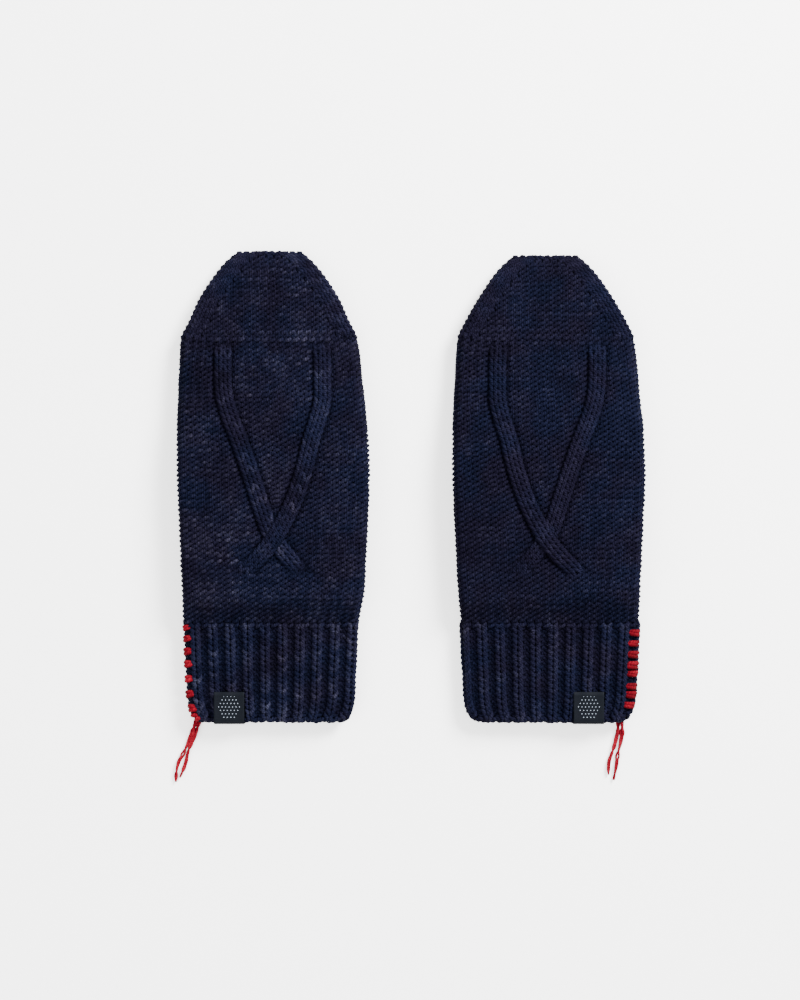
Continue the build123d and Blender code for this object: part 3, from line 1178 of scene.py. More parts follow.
def levels(size: Sizes) -> list[tuple[float, float, float]]:
    """Draws the side view of a mitten that lies flat.

    Args:
        size: The mitten's sizes.

    Returns:
        Height, underside and top at a few places, hem to tip.
    """
    return [
        (0.0, 0.0, size.cuff_thick),
        (size.cuff_top, 0.0, size.cuff_thick + 0.4),
        (size.cuff_top + 16.0, size.palm_low, size.hand_top),
        (size.fold - 8.0, size.palm_low, size.hand_top),
        (size.fold + 8.0, size.hood_low, size.hand_top - 0.4),
        (size.fold + 30.0, 0.0, 14.6),
        (size.shoulder, 0.0, 12.4),
        (size.tip - 8.0, 0.0, 9.4),
        (size.tip - 2.0, 0.6, 7.4),
        (size.tip, 1.4, 6.2),
    ]


def stations(
    size: Sizes, heights: list[tuple[float, float, float]]
) -> list[tuple[float, float, float, float]]:
    """Joins the outline and a side view into the stations of a tube.

    Args:
        size: The mitten's sizes.
        heights: Height, underside and top at a few places.

    Returns:
        Height, half width, underside and top, wherever either one has a point.
    """
    shape = SmoothLine(outline(size))
    low = SmoothLine([(y, a) for y, a, _ in heights])
    top = SmoothLine([(y, b) for y, _, b in heights])
    marks = sorted({y for y, _ in outline(size)} | {y for y, _, _ in heights})
    return [(y, float(shape(y)), float(low(y)), float(top(y))) for y in marks]


def thread_line(points: list[tuple[float, float, float]]) -> Array:
    """Samples the soft line of a thread from the few points that guide it.

    Args:
        points: The route, in metres in the row frame.

    Returns:
        Points close together along the line.
    """
    curve = bpy.data.curves.new("guide", "CURVE")
    curve.dimensions = "3D"
    curve.resolution_u = 24
    spline = curve.splines.new("NURBS")
    spline.points.add(len(points) - 1)
    for knot, point in zip(spline.points, points):
        knot.co = (*point, 1.0)
    spline.order_u = 3
    spline.use_endpoint_u = True
    probe = bpy.data.objects.new("guide", curve)
    mesh = bpy.data.meshes.new_from_object(probe)
    line = np.array([vertex.co for vertex in mesh.vertices])
    bpy.data.objects.remove(probe)
    bpy.data.curves.remove(curve)
    bpy.data.meshes.remove(mesh)
    return line


@dataclass
class Mitten:
    """One mitten, whose fabrics are all built on flattened tubes of the same outline.

    Ribs across is the number of ribs over the back of the cuff. The bands are the smooth
    strips, a few wales wide, along the shaped edges of the tip.
    """

    size: Sizes
    finishes: Finishes
    gauge: Gauge = field(default_factory=Gauge)
    ribs_across: int = 10
    rib_row_mm: float = 2.9
    band_wales: int = 3
    band_mm: float = 4.1

    def __post_init__(self) -> None:
        """Makes the tubes that the fabrics lie on."""
        size, work = self.size, HANDWORK[self.size.side]
        self.work = work
        self.skein = work.skein
        self.seed = work.skein.seed
        self.rib_shift = work.rib_start + abs(work.cuff_lean)
        self.origin = (size.centre, size.hem)
        low, high = work.sway
        self.sway = (
            (size.cuff_top, low + work.cuff_lean),
            (size.cuff_top + 22.0, low),
            (size.cuff_top + 70.0, low),
            (size.shoulder, high),
        )
        self.tube = self.flat_tube(levels(size))
        heel = 66.0
        hand = [(y, size.palm_low, size.hand_top) for y in (heel, size.fold)]
        self.hand_tube = self.flat_tube(levels(size)[:2] + hand)
        hood = [(y, size.hood_low, size.hand_top) for y in (size.hood_rib_start, size.fold)]
        self.hood_tube = self.flat_tube(hood + levels(size)[5:])
        cuff = [(y, 0.0, size.cuff_thick) for y in (0.0, size.cuff_top)]
        self.cuff_tube = self.flat_tube(cuff, inset=2.2)
        self.mitten_body = self.name("mitten")
        self.hood_body = self.name("hood")
        self.thumb_body = self.name("thumb")
        self.heights, self.row_mm = courses(size.cuff_top, size.tip, self.gauge.row_mm)

    # ---- shared work

    def flat_tube(self, heights: list[tuple[float, float, float]], inset: float = 1.5) -> FlatTube:
        """Makes a tube with this mitten's outline.

        Args:
            heights: Height, underside and top at a few places.
            inset: Depth of the fabric's middle, in mm.

        Returns:
            The tube.
        """
        shape = stations(self.size, heights)
        return FlatTube(
            self.origin, self.size.hand, shape, inset=inset, seed=self.seed, sway=self.sway
        )

    def name(self, word: str) -> str:
        """Gives a piece's name, with its side in front."""
        return f"{self.size.side.value}_{word}"

    def stand_for(self, piece: bpy.types.Object, slot: str, *nodes: str) -> None:
        """Puts a piece in place of plain solids, and reports it.

        Args:
            piece: The finished piece.
            slot: Not used.
            nodes: The solids that it stands for, without their side.
        """
        if nodes:
            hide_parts(*(self.name(node) for node in nodes))
        log.info("%s: %d faces", piece.name, len(piece.data.polygons))

    def fix(self, piece: bpy.types.Object, body: str, slot: str, *nodes: str) -> None:
        """Fixes a piece to a body, in place of the plain solids that it stands for."""
        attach(piece, body)
        self.stand_for(piece, slot, *nodes)

    def bend(self, piece: bpy.types.Object, slot: str, *nodes: str) -> None:
        """Keeps a fabric that spans the knuckle fold, between the hand and the hood, with its place
        baked into its mesh, in place of the plain solids.

        Args:
            piece: The fabric.
            slot: Not used.
            nodes: The solids that it stands for, without their side.
        """
        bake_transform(piece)
        self.stand_for(piece, slot, *nodes)

    def kept_wales(self, tube: FlatTube, y0: float, banded: bool) -> tuple[Array, float]:
        """Chooses the wales of a row, which are fewer where the fabric narrows.

        Args:
            tube: The tube that the row lies on.
            y0: The row's height, in mm from the hem.
            banded: Whether the row stops at the bands along the shaped edges of the tip.

        Returns:
            The kept wales' numbers, and the width of a wale.
        """
        spread = self.gauge.spacing(float(tube.reach(min(y0, self.size.shoulder))))
        edge = float(tube.reach(y0))
        if banded and y0 > self.size.shoulder:
            edge -= (self.band_wales - 0.6) * self.band_mm
        wales = self.gauge.wales()
        return wales[np.abs(wales) * spread < edge], spread

    def trench(self, x: Array, y: Array) -> Array:
        """Gives how deep the ground sinks beside and under the cables.

        Args:
            x: Places across, in mm.
            y: Heights from the hem, in mm.

        Returns:
            Shares from 0 to 1.
        """
        deep = np.zeros(np.shape(x))
        for cable in (Cable(self, True), Cable(self, False)):
            deep = np.maximum(deep, cable.nearness(x, y))
        return deep

    # ---- the back

    def build_back(self) -> None:
        """Builds the back in one piece from cuff to tip, purl side out, and its inner face."""
        size = self.size
        bundle = YarnBundle()
        shape = LoopShape(overhang=0.20, lean=0.28 * size.hand, relief=0.62, flatness=0.12)
        for row, y0 in enumerate(self.heights):
            kept, spread = self.kept_wales(self.tube, y0, True)
            if len(kept) < 2:
                continue
            q, h, relief = shape.row(plain(Stitch.PURL, len(kept)))
            s = (q + kept[0]) * spread
            y = y0 + h * self.row_mm + 0.45 * patches(s, np.full_like(s, y0), 14.0, self.seed + 8)
            y = y + 0.16 * drift(q + row * 53.0, 1.0, self.seed + 6)
            ridge = 0.55 * math.exp(-(((y0 - size.shoulder) / 1.6) ** 2))
            sink = self.trench(s, y)
            loose = drift(q + row * 37.0, 1.0, self.seed + 7)
            out = relief * (1 - 0.4 * sink) + ridge - 0.8 * sink + 0.12 * loose
            radius = self.gauge.yarn_radius * (1 + 0.06 * drift(s + row * 17.0, 5.0, self.seed + 9))
            line, up = self.tube.place(s, np.clip(y, 0, size.tip + 1.2), out)
            # Painted light and shade in the tone: lighter on the raised shoulder ridge and on the
            # raised parts of the loops, darker beside and under the cables where shade falls
            tone = self.skein.tone(s, y, row, 0) + 0.15 * ridge * (np.abs(s) < 32.0)
            tone = tone - 0.2 * sink + 0.12 * relief
            bundle.add(line, up, radius * MM, np.clip(tone, 0.0, 1.0))
        piece = bundle.build(self.name("back_fabric"), self.finishes.navy)
        self.bend(piece, "navy_yarn", "hand_back", "hood_back")
        inner = self.lining(
            "back_inner_face", self.tube, size.cuff_top, size.tip - 0.5, Face.BACK, (-0.7, -1.2)
        )
        self.bend(inner, "navy_yarn")

    def lining(
        self,
        word: str,
        tube: FlatTube,
        low: float,
        high: float,
        face: Face | None,
        depths: tuple[float, float] = (-0.3, -0.8),
        share: float = 1.0,
    ) -> bpy.types.Object:
        """Builds the thin inner face that closes the gaps between the loops.

        Args:
            word: The piece's name.
            tube: The tube it lies on.
            low: Where it starts, in mm from the hem.
            high: Where it ends.
            face: Which half of the tube it covers, or None for all the way round.
            depths: Places of its two skins, out of the fabric, in mm.
            share: How much of the way to the sides it reaches.

        Returns:
            The new object.
        """
        halves = 2 if face is None else 1
        across = np.linspace(-halves, halves, 40 * halves + 1)
        along = np.linspace(low, high, max(4, int((high - low) / 3)))
        u, y = np.meshgrid(across, along)
        s = u * tube.reach(y) * share
        if face is Face.PALM:
            s = tube.round_to_palm(s, y)
        skins = []
        for out in depths:
            points, _ = tube.place(s, y, np.full_like(y, out))
            skins.append(points.reshape(-1, 3))
        points = np.concatenate(skins).tolist()
        faces = closed_grid(len(along), len(across))
        piece = mesh_piece(self.name(word), points, faces, self.finishes.inside)
        grid = np.tile(np.stack([s / WALE_MM, y / self.row_mm], -1).reshape(-1, 2), (2, 1))
        corner = np.empty(len(piece.data.loops), np.int32)
        piece.data.loops.foreach_get("vertex_index", corner)
        layer = piece.data.uv_layers.new(name="stitches")
        layer.data.foreach_set("uv", grid[corner].astype(np.float32).ravel())
        return piece

    # ---- smooth fabrics

    def smooth_palm_rows(
        self, bundle: YarnBundle, tube: FlatTube, low: float, high: float, banded: bool
    ) -> None:
        """Adds rows of stockinette, knit side out, over the palm half of a tube.

        Args:
            bundle: Where the yarns go.
            tube: The tube they lie on.
            low: Where the rows start, in mm from the hem.
            high: Where they end.
            banded: Whether the wales stop at the bands along the shaped edges.
        """
        shape = LoopShape(height=0.82, relief=0.5, samples=8)
        heights, step = courses(low, high, self.gauge.row_mm)
        for row, y0 in enumerate(heights):
            kept, spread = self.kept_wales(tube, y0, banded)
            if len(kept) < 2:
                continue
            q, h, relief = shape.row(plain(Stitch.KNIT, len(kept)))
            y = y0 + h * step
            s = tube.round_to_palm((q + kept[0]) * spread, y)
            line, up = tube.place(s, np.clip(y, 0, self.size.tip + 1.2), relief)
            tone = self.skein.tone(s, y, row + 500, 20)
            bundle.add(line, up, self.gauge.yarn_radius * MM, tone)

    def band_rows(self, bundle: YarnBundle, face: Face) -> None:
        """Adds the smooth bands that follow both shaped edges of the tip.

        Args:
            bundle: Where the yarns go.
            face: Which half of the tip they lie on.
        """
        shape = LoopShape(height=0.84, relief=0.55, samples=9)
        first = int((self.size.shoulder - self.size.cuff_top) / self.row_mm)
        for row in range(first, len(self.heights)):
            y0 = self.heights[row]
            q, h, relief = shape.row(plain(Stitch.KNIT, self.band_wales))
            y = np.clip(y0 + h * self.row_mm, 0, self.size.tip + 0.8)
            for way in (-1.0, 1.0):
                s = way * (self.tube.reach(y) - (self.band_wales - 1 - q + 0.35) * self.band_mm)
                if face is Face.PALM:
                    s = self.tube.round_to_palm(s, y)
                ends = np.minimum(q + 0.5, self.band_wales - 0.5 - q)
                out = relief + 0.35 - 1.6 * (1 - ease(-0.1, 0.35, ends))
                line, up = self.tube.place(s, y, out)
                tone = self.skein.tone(s, y, row + 900, 30)
                bundle.add(line, up, self.gauge.yarn_radius * MM, tone)

    def build_tip_bands(self) -> None:
        """Builds the smooth bands on the back of the tip."""
        bundle = YarnBundle()
        self.band_rows(bundle, Face.BACK)
        self.edge_chain(bundle, self.tube, self.size.tip - 0.2, (-2.0, 2.0), 1.0)
        piece = bundle.build(self.name("tip_band_fabric"), self.finishes.navy)
        self.fix(piece, self.hood_body, "navy_yarn", "tip_bands")

    # ---- ribbed fabrics

    def rib_place(self, q: Array, tube: FlatTube, y: float, shift: float) -> tuple[Array, Array]:
        """Draws the ribbing's section, where knit columns stand out and crowd together.

        Args:
            q: Places across, counted in stitches.
            tube: The tube it lies on.
            y: Its height, in mm from the hem.
            shift: How far it is moved round the tube, in mm.

        Returns:
            Places across and rises out of the fabric, both in mm.
        """
        pitch = 2 * float(tube.reach(y)) / self.ribs_across
        turn = math.pi * q
        s = pitch * (q / 2 + 0.055 * np.sin(turn)) + shift
        return s, 1.05 * np.cos(turn)

    def cuff_rows(self, bundle: YarnBundle) -> None:
        """Adds rows of ribbing, knit one and purl one, all the way round the cuff.

        Args:
            bundle: Where the yarns go.
        """
        tube, seed = self.cuff_tube, self.seed + 70
        shape = LoopShape(overhang=0.25, height=0.86, relief=0.65)
        heights, step = courses(1.2, self.size.cuff_top + 1.2, self.rib_row_mm)
        around = 4 * self.ribs_across
        for row, y0 in enumerate(heights):
            q, h, relief = shape.row(ribbed(np.arange(around)))
            half_pitch = float(tube.reach(y0)) / self.ribs_across
            s, rise = self.rib_place(q - around / 2, tube, y0, self.rib_shift + half_pitch)
            y = y0 + h * step + 0.18 * drift(q + row * 41.0, 1.0, seed)
            y = y + 0.35 * patches(s, np.full_like(s, y0), 12.0, seed + 1)
            out = relief + rise + 0.12 * drift(q + row * 29.0, 1.0, seed + 2)
            line, up = tube.place(s, y, out)
            # Painted light and shade in the tone: the raised knit columns and the tops of the loops are
            # lighter, the sunken purl columns darker
            tone = self.skein.tone(s, y, row + 2100, 70) - 0.06 + 0.2 * rise + 0.1 * relief
            bundle.add(line, up, 1.1 * MM, np.clip(tone, 0.0, 1.0))

    def palm_rib_rows(
        self, bundle: YarnBundle, tube: FlatTube, low: float, high: float, flat_below: float
    ) -> None:
        """Adds rows of ribbing over the palm half of a tube.

        Args:
            bundle: Where the yarns go.
            tube: The tube they lie on.
            low: Where the rows start, in mm from the hem.
            high: Where they end.
            flat_below: Height under which the rows stay clear of the rounded sides.
        """
        shape = LoopShape(height=0.82, relief=0.45, samples=8)
        heights, step = courses(low, high, self.gauge.row_mm)
        half = 2 * (self.ribs_across // 2) - 1
        for row, y0 in enumerate(heights):
            reach = float(tube.reach(y0))
            index = np.arange(-half, half + 1)
            if y0 < flat_below:
                index = index[np.abs(index) < half]
            q, h, relief = shape.row(ribbed(index))
            s, rise = self.rib_place(q + index[0], tube, y0, 0.0)
            y = y0 + h * step
            s = tube.round_to_palm(np.clip(s, -reach, reach), y)
            line, up = tube.place(s, y, 0.5 * relief + 0.4 * rise)
            bundle.add(line, up, 0.92 * MM, self.skein.tone(s, y, row + 2500, 50))

    def edge_chain(
        self, bundle: YarnBundle, tube: FlatTube, y0: float, span: tuple[float, float], thick: float
    ) -> None:
        """Adds the two strands that twist along a cast-on or bound-off edge.

        Args:
            bundle: Where the yarns go.
            tube: The tube they lie on.
            y0: Height of the edge, in mm from the hem.
            span: First and last place across, in shares of the tube's reach.
            thick: Radius of one strand, in mm.
        """
        twist_mm = 4.6
        reach = float(tube.reach(y0))
        s = np.linspace(span[0] * reach, span[1] * reach, int(abs(span[1] - span[0]) * 150))
        turn = 2 * math.pi * s / twist_mm
        wave = np.cos(2 * math.pi * s / (2 * reach / self.ribs_across) + math.pi)
        loose = 0.3 * drift(s, 6.0, self.seed + 61)
        for phase in PLIES:
            y = y0 + 0.55 * np.sin(turn + phase) + 0.5 * wave + loose
            out = 0.6 * np.cos(turn + phase) + 0.3 * wave
            line, up = tube.place(s, y, out)
            tone = self.skein.tone(s, y, int(y0) + int(phase), 60)
            bundle.add(line, up, thick * MM, tone)

    def build_cuff(self) -> None:
        """Builds the ribbed cuff with its cast-on edge and inner face."""
        bundle = YarnBundle()
        self.cuff_rows(bundle)
        self.edge_chain(bundle, self.cuff_tube, 0.9, (-2.0, 2.0), 0.95)
        piece = bundle.build(self.name("cuff_fabric"), self.finishes.navy)
        self.fix(piece, self.mitten_body, "navy_yarn", "cuff")
        top = self.size.cuff_top + 1.0
        inner = self.lining("cuff_inner_face", self.cuff_tube, 0.7, top, None, (-1.2, -1.7))
        self.fix(inner, self.mitten_body, "navy_yarn")

    # ---- the palm

    def build_palm(self) -> None:
        """Builds the smooth palm of the hand and its ribbed edge at the finger slit."""
        size, tube = self.size, self.hand_tube
        bundle = YarnBundle()
        self.smooth_palm_rows(bundle, tube, size.cuff_top, size.palm_rib, False)
        piece = bundle.build(self.name("palm_fabric"), self.finishes.navy)
        self.fix(piece, self.mitten_body, "navy_yarn", "hand_palm")
        bundle = YarnBundle()
        self.palm_rib_rows(bundle, tube, size.palm_rib, size.fold - 1.2, 0.0)
        for way in (1.0, -1.0):
            self.edge_chain(bundle, tube, size.fold - 1.4, (way, way * 2.0), 0.85)
        piece = bundle.build(self.name("palm_rib_fabric"), self.finishes.navy)
        self.fix(piece, self.mitten_body, "navy_yarn", "palm_rib")
        inner = self.lining("palm_inner_face", tube, size.cuff_top, size.fold - 1.5, Face.PALM)
        self.fix(inner, self.mitten_body, "navy_yarn")

    def build_hood_palm(self) -> None:
        """Builds the palm side of the hood, with the ribbed edge that laps under the palm."""
        size, tube = self.size, self.hood_tube
        bundle = YarnBundle()
        self.smooth_palm_rows(bundle, tube, size.hood_rib_end, size.tip, True)
        self.band_rows(bundle, Face.PALM)
        piece = bundle.build(self.name("hood_palm_fabric"), self.finishes.navy)
        self.fix(piece, self.hood_body, "navy_yarn", "hood_palm")
        bundle = YarnBundle()
        self.palm_rib_rows(bundle, tube, size.hood_rib_start, size.hood_rib_end, size.fold + 1.0)
        for way in (1.0, -1.0):
            self.edge_chain(bundle, tube, size.hood_rib_start + 0.8, (way * 1.18, way * 2.0), 0.8)
        piece = bundle.build(self.name("hood_rib_fabric"), self.finishes.navy)
        self.fix(piece, self.hood_body, "navy_yarn", "hood_rib")
        inner = self.lining("hood_inner_face", tube, size.fold + 1.5, size.tip - 0.5, Face.PALM)
        self.fix(inner, self.hood_body, "navy_yarn")
        start, end = size.hood_rib_start + 0.3, size.fold + 4.0
        lap = self.lining("hood_lap_inner_face", tube, start, end, Face.PALM, share=0.86)
        self.fix(lap, self.hood_body, "navy_yarn")

    # ---- the thumb

    def build_thumb(self) -> None:
        """Builds the thumb, a small flattened tube turned in under the palm."""
        size = self.size
        base, first_row, end = -14.4, -13.2, 49.6
        turned_in = math.radians(55.0)
        shape = [
            (-14.6, 4.0),
            (-13.0, 7.6),
            (-10.0, 11.2),
            (-5.0, 14.1),
            (0.0, 15.0),
            (18.0, 14.3),
            (37.0, 13.0),
            (42.0, 12.0),
            (46.0, 9.4),
            (49.0, 5.4),
            (50.0, 4.0),
        ]
        tube = FlatTube(
            size.thumb,
            size.hand,
            [(y, w, 0.0, size.thumb_thick) for y, w in shape],
            inset=1.45,
            turn=size.hand * turned_in,
            seed=self.seed + 80,
        )
        bundle = YarnBundle()
        loop = LoopShape(height=0.82, relief=0.4, samples=8)
        rows, row_mm = 24, 2.6
        for row in range(rows):
            y0 = first_row + row * row_mm
            reach = float(tube.reach(y0))
            count = max(2, int(round(4 * reach / WALE_MM)))
            q, h, relief = loop.row(plain(Stitch.KNIT, count))
            s = (q - (count - 1) / 2) * 4 * reach / count
            y = np.clip(y0 + h * row_mm, base, end)
            line, up = tube.place(s, y, relief)
            bundle.add(line, up, 0.95 * MM, self.skein.tone(s, y, row + 3100, 81))
        piece = bundle.build(self.name("thumb_fabric"), self.finishes.navy)
        self.fix(piece, self.thumb_body, "navy_yarn", "thumb")
        inner = self.lining("thumb_inner_face", tube, -13.5, 49.0, None)
        self.fix(inner, self.thumb_body, "navy_yarn")

    # ---- the seam and the label

    def build_seam(self) -> None:
        """Builds the whipstitches, which hold the outer edge of the cuff together.

        Each is two red strands that start on the back, a little inward of the edge, pull
        tight where they go round it, and end on the palm.
        """
        tube, seam = self.cuff_tube, self.work.seam
        bundle = YarnBundle(8)
        chance = np.random.default_rng(self.seed + 90)
        turn = np.linspace(-1.0, 1.0, 34)
        on_palm = 2.2
        edge = -1.0 + seam.inward / (seam.inward + on_palm)
        for height, scale in zip(seam.heights, seam.sizes):
            lean = seam.slant * chance.uniform(0.5, 1.3)
            reach = seam.inward * chance.uniform(0.88, 1.04)
            for strand in (-1.0, 1.0):
                loose = chance.uniform(-0.2, 0.25)
                bow = 0.98 * scale * (1 - 0.55 * np.clip(-turn, 0, 1) ** 3)
                y = height + strand * bow - lean * (turn - edge)
                y = np.clip(y, 0.4, None)
                s = -(tube.reach(y) - reach + (turn + 1) * (reach + on_palm) + 0.3 * strand)
                tuck = 1.1 * np.exp(-(((turn - edge) / 0.24) ** 2))
                out = 0.1 + (2.1 + loose) * (1 - np.abs(turn) ** 3) - tuck
                line, up = tube.place(s, y, out)
                fleck = 0.16 * drift(turn * seam.inward, 1.5, self.seed + int(height))
                # The tone differs at random from strand to strand, and strands that stand higher get
                # painted light
                tone = seam.dye + 0.3 * loose + fleck
                bundle.add(line, up, 1.18 * scale**0.5 * MM, tone)
        piece = bundle.build(self.name("whipstitch_thread"), self.finishes.red)
        self.fix(piece, self.mitten_body, "red_thread", "seam_stitches")

    def build_tails(self) -> None:
        """Builds the two loose thread ends, each one soft line that lies on the table.

        Each is an untwisting pair of strands, which stand apart where the twist opens.
        """
        twist_mm = 13.0
        width_mm, table_mm = 1.4, 0.7
        for word, route in self.work.tails.items():
            points = [
                ((self.size.centre + x) * MM, (self.size.hem + y) * MM, z * MM) for x, y, z in route
            ]
            line = thread_line(points)
            run = travelled(line) / MM
            up = np.tile([0.0, 0.0, 1.0], (len(line), 1))
            side = np.cross(np.gradient(line, axis=0), up)
            side /= np.linalg.norm(side, axis=1, keepdims=True)
            apart = 0.50 + 0.80 * np.clip(np.sin(2 * math.pi * run / twist_mm + len(word)), 0, 1)
            apart = apart * ease(0.0, 4.0, run) * (1 - 0.6 * ease(run[-1] - 5, run[-1], run))
            thick = 0.78 - 0.18 * ease(8.0, 20.0, run) - 0.2 * ease(run[-1] - 3, run[-1], run)
            bundle = YarnBundle(7)
            for phase in PLIES:
                turn = math.pi * run / twist_mm + phase
                away = apart[:, None] * np.cos(turn)[:, None] * side
                lifted = (line[:, 2:] / (table_mm * MM)).clip(0, 1)
                rise = 0.30 * np.sin(turn)[:, None] * up * lifted
                strand = line + (away + rise) * MM
                strand[:, 2] = np.maximum(strand[:, 2], 0.6 * MM)
                tone = self.work.tail_dye + 0.12 * drift(run, 2.0, self.seed + int(phase))
                bundle.add(strand, up, thick * MM, tone)
            piece = bundle.build(self.name(f"tail_{word}_thread"), self.finishes.red)
            self.fix(piece, self.mitten_body, "red_thread", f"tail_{word}")

    @staticmethod
    def label_wave(x: Array) -> Array:
        """Gives how the tape follows the ribs beneath it, in mm."""
        return 0.22 * np.cos(2 * math.pi * x / RIB_MM + 0.6)

    def build_label(self) -> None:
        """Builds the woven label, folded over the hem, and the light dots woven into it."""
        size = self.size
        low, high = (np.array(corner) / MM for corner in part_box(self.name("label")))
        middle, half = (low[0] + high[0]) / 2, (high[0] - low[0]) / 2
        length, inside = high[1] - size.hem, 10.0
        top, bottom = size.cuff_thick + 0.75, 5.6
        half_thick = 0.16
        fold = np.linspace(math.pi / 2, -math.pi / 2, 9)
        centre, radius = (top + bottom) / 2, (top - bottom) / 2
        path = [(length - step * length / 8, top) for step in range(8)]
        path += [(-1.5 * math.cos(angle), centre + radius * math.sin(angle)) for angle in fold]
        path += [(inside * (step + 1) / 5, bottom) for step in range(5)]
        profile = np.array(path)
        across = np.linspace(-half, half, 25)
        along = np.tile(profile[:, 0], (len(across), 1)).T
        level = np.tile(profile[:, 1], (len(across), 1)).T
        outer = level > centre
        wave = np.where(outer, self.label_wave(across)[None, :], 0.0) * ease(-1.0, 3.0, along)
        lift = 0.35 * ease(length - 4.0, length, along) * outer
        x = np.tile(middle + across, (len(profile), 1))
        skins = []
        for offset in (half_thick, -half_thick):
            z = level + wave + lift + offset * np.where(outer, 1.0, -1.0)
            skins.append(np.stack([x, size.hem + along, z], -1).reshape(-1, 3) * MM)
        points = np.concatenate(skins).tolist()
        faces = closed_grid(len(profile), len(across))
        piece = mesh_piece(self.name("label_tape"), points, faces, self.finishes.tape)
        self.fix(piece, self.mitten_body, "woven_label", "label")
        self.name("cuff")
        self.build_dots(middle, length, top)

    def build_dots(self, middle: float, length: float, top: float) -> None:
        """Builds the dots on the label as small raised pads, in staggered rows.

        Args:
            middle: Place across of the label's middle, in mm.
            length: Height of the part that shows, from the hem.
            top: Height of its face above the table.
        """
        points, faces = [], []
        sides, pitch, radius, most = 10, 1.85, 0.29, 3
        for row in range(-most, most + 1):
            count = 2 * most + 1 - abs(row)
            for column in range(count):
                x = (column - (count - 1) / 2) * pitch
                y = length / 2 + row * pitch
                z = top + float(self.label_wave(x))
                first = len(points)
                for size, rise in ((radius, 0.12), (radius * 0.75, 0.30)):
                    for step in range(sides):
                        turn = 2 * math.pi * step / sides
                        px = middle + x + size * math.cos(turn)
                        py = self.size.hem + y + size * math.sin(turn)
                        points.append((px * MM, py * MM, (z + rise) * MM))
                for step in range(sides):
                    nxt = (step + 1) % sides
                    faces.append((first + step, first + nxt, first + sides + nxt, first + sides + step))
                faces.append(tuple(first + sides + step for step in range(sides)))
                faces.append(tuple(first + step for step in reversed(range(sides))))
        name = self.name("label_dots_thread")
        piece = mesh_piece(name, points, faces, self.finishes.dots, smooth=False)
        self.fix(piece, self.mitten_body, "label_dots", "label_motif")


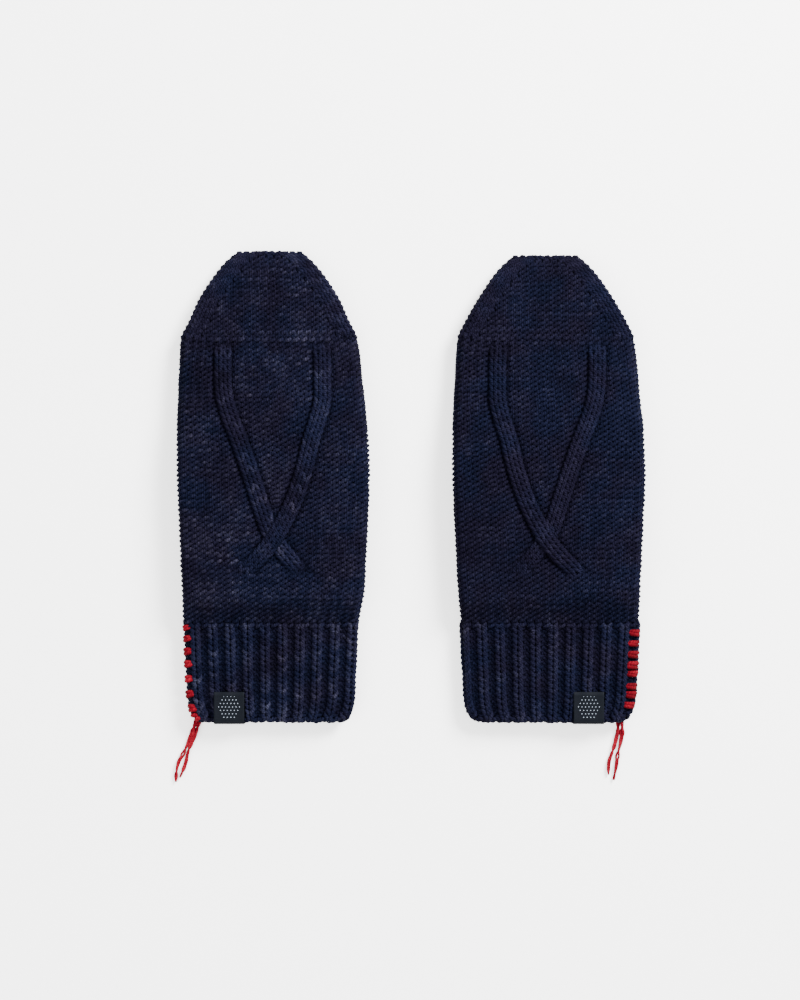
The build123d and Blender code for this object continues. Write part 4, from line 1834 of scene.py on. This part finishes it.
@dataclass
class Cable:
    """One raised cable: two smooth wales that travel over the ground of the back."""

    mitten: Mitten
    over: bool
    half_width: float = 4.6
    row_mm: float = 3.5

    def __post_init__(self) -> None:
        """Samples the cable's line once, as points at an even distance."""
        mitten = self.mitten
        fold, way = mitten.size.fold, 1.0 if self.over else -1.0
        heights = (54.5, 40.0, 27.4, 15.0, 5.5, -12.7, -29.8, -43.2, -50.2, -58.0, -63.0, -68.5)
        if self.over:
            offsets = (26.2, 26.9, 26.9, 24.4, 21.4, 16.9, 11.0, 4.4, 0.2, -6.2, -11.2, -16.4)
        else:
            offsets = (26.6, 26.4, 25.6, 22.0, 18.2, 11.9, 6.4, 1.9, -1.6, -7.8, -12.0, -16.2)
        line = [(fold + height, offset) for height, offset in zip(heights, offsets)]
        flipped = SmoothLine([(-y, way * x) for y, x in line])
        y = np.linspace(line[0][0], line[-1][0], 400)
        x = flipped(-y) + mitten.size.hand * (mitten.work.cable_shift - mitten.tube.lean(y))
        self.run = np.concatenate([[0.0], np.cumsum(np.hypot(np.diff(x), np.diff(y)))])
        self.length = float(self.run[-1])
        self.line_x, self.line_y = x, y

    def at(self, run: Array | float) -> tuple[Array, Array]:
        """Gives the places across and up at lengths along the cable, from its upper end."""
        return np.interp(run, self.run, self.line_x), np.interp(run, self.run, self.line_y)

    def nearness(self, x: Array, y: Array) -> Array:
        """Tells what lies beside and under the cable from what lies away from it.

        Args:
            x: Places across, in mm.
            y: Heights from the hem, in mm.

        Returns:
            Shares, 1 at the cable and 0 away from it.
        """
        middle = np.interp(y, self.line_y[::-1], self.line_x[::-1])
        slope = np.gradient(self.line_x, self.line_y)
        lean = np.interp(y, self.line_y[::-1], slope[::-1])
        away = np.abs(x - middle) / np.sqrt(1 + lean**2)
        inside = ease(self.line_y[-1] - 1.0, self.line_y[-1] + 2.0, y)
        inside = inside * (1 - ease(self.line_y[0] - 1.0, self.line_y[0] + 2.0, y))
        return inside * (1 - ease(self.half_width + 0.2, self.half_width + 2.6, away))

    def build(self) -> None:
        """Builds the cable's yarns, raised over the other cable where they cross."""
        mitten = self.mitten
        bundle = YarnBundle(6)
        shape = LoopShape(overhang=0.25, height=0.95, relief=0.6, samples=12)
        wales = 2
        cross = mitten.size.fold - 49.5
        for row in range(int(self.length / self.row_mm)):
            down = (row + 0.5) * self.row_mm
            q, h, relief = shape.row(plain(Stitch.KNIT, wales))
            run = np.clip(down - h * self.row_mm, 0.0, self.length)
            dx, dy = np.subtract(self.at(run + 0.5), self.at(run - 0.5))
            span = np.hypot(dx, dy) + 1e-9
            off = (q - 0.5) * self.half_width * 0.98
            middle_x, middle_y = self.at(run)
            x, y = middle_x + off * dy / span, middle_y - off * dx / span
            rim = np.minimum(q + 0.5, wales - 0.5 - q)
            height = float(self.at(down)[1])
            ends = ease(0.0, 5.0, down) * (1 - 0.8 * ease(self.length - 16.0, self.length, down))
            out = relief + 0.7 + 0.6 * (1 - (off / self.half_width) ** 2)
            if self.over:
                out = out + 1.1 * math.exp(-(((height - cross) / 8.5) ** 2))
            else:
                out = out - 0.8 * (1 - ease(cross - 4.0, cross + 14.0, height))
            out = out - 1.6 * (1 - ease(-0.15, 0.25, rim)) - 1.8 * (1 - ends)
            line, up = mitten.tube.place(x, y, out)
            tone = mitten.skein.tone(x, y, row + (1300 if self.over else 1700), 40)
            # Painted shade and light in the tone: darker along the cable's edges, where its yarns dip
            # into the ground, lighter on the raised parts of the loops
            tone = tone - 0.22 * (1 - ease(-0.1, 0.35, rim)) + 0.1 * relief
            bundle.add(line, up, 1.02 * MM, np.clip(tone, 0.0, 1.0))
        word, place = ("over", "inner") if self.over else ("under", "outer")
        piece = bundle.build(mitten.name(f"cable_{word}_fabric"), mitten.finishes.navy)
        mitten.bend(piece, "navy_yarn", f"cable_{word}", f"hood_cable_{place}")


# ---------------------------------------------------------------- the scene


@dataclass(frozen=True)
class Studio:
    """The white sweep, the soft lights and the camera straight above."""

    lens_mm: float = 85.0
    frame_height_mm: float = 535.0
    centre_mm: tuple[float, float] = (-4.8, -6.4)

    def build(self) -> None:
        """Makes the floor, the lights, the world and the camera."""
        bpy.ops.mesh.primitive_grid_add(x_subdivisions=8, y_subdivisions=8, size=6.0)
        floor = bpy.context.object
        floor.name = "paper_sweep"
        floor.location.z = -0.0004
        floor.data.materials.append(StudioSheet("white_paper", "fdfdfd").build())
        self.light("key_softbox", (1.0, 1.0, 0.95), 0.7, 150.0)
        self.light("fill_softbox", (-0.9, -0.5, 1.2), 1.4, 26.0)
        world = bpy.data.worlds.new("studio_air")
        world.use_nodes = True
        world.node_tree.nodes["Background"].inputs["Color"].default_value = (1, 1, 1, 1)
        world.node_tree.nodes["Background"].inputs["Strength"].default_value = 1.5
        bpy.context.scene.world = world
        self.camera()

    def light(self, name: str, place: tuple[float, float, float], size: float, power: float) -> None:
        """Adds one square softbox that faces the middle of the floor.

        Args:
            name: Its name.
            place: Where it stands, in metres.
            size: Length of its side, in metres.
            power: Its power, in watts.
        """
        data = bpy.data.lights.new(name, "AREA")
        data.size = size
        data.energy = power
        lamp = bpy.data.objects.new(name, data)
        lamp.location = place
        lamp.rotation_euler = (-lamp.location).to_track_quat("-Z", "Y").to_euler()
        bpy.context.scene.collection.objects.link(lamp)

    def camera(self) -> None:
        """Adds the camera, looking straight down with the fingertips at the top."""
        data = bpy.data.cameras.new("overhead")
        data.lens = self.lens_mm
        data.sensor_width = 36.0
        eye = bpy.data.objects.new("overhead", data)
        away = self.frame_height_mm / data.sensor_width * self.lens_mm
        eye.location = (self.centre_mm[0] * MM, self.centre_mm[1] * MM, (away + 12.0) * MM)
        bpy.context.scene.collection.objects.link(eye)
        bpy.context.scene.camera = eye


def main() -> None:
    """Builds the pair around the frame, piece by piece."""
    logging.basicConfig(level=logging.INFO, format="%(message)s")
    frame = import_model()
    Studio().build()
    finishes = Finishes.build()
    for side in Side:
        mitten = Mitten(Sizes.read(side, frame["joints"]), finishes)
        mitten.build_back()
        mitten.build_tip_bands()
        Cable(mitten, True).build()
        Cable(mitten, False).build()
        mitten.build_cuff()
        mitten.build_palm()
        mitten.build_hood_palm()
        mitten.build_thumb()
        mitten.build_seam()
        mitten.build_tails()
        mitten.build_label()


if __name__ == "__main__":
    main()
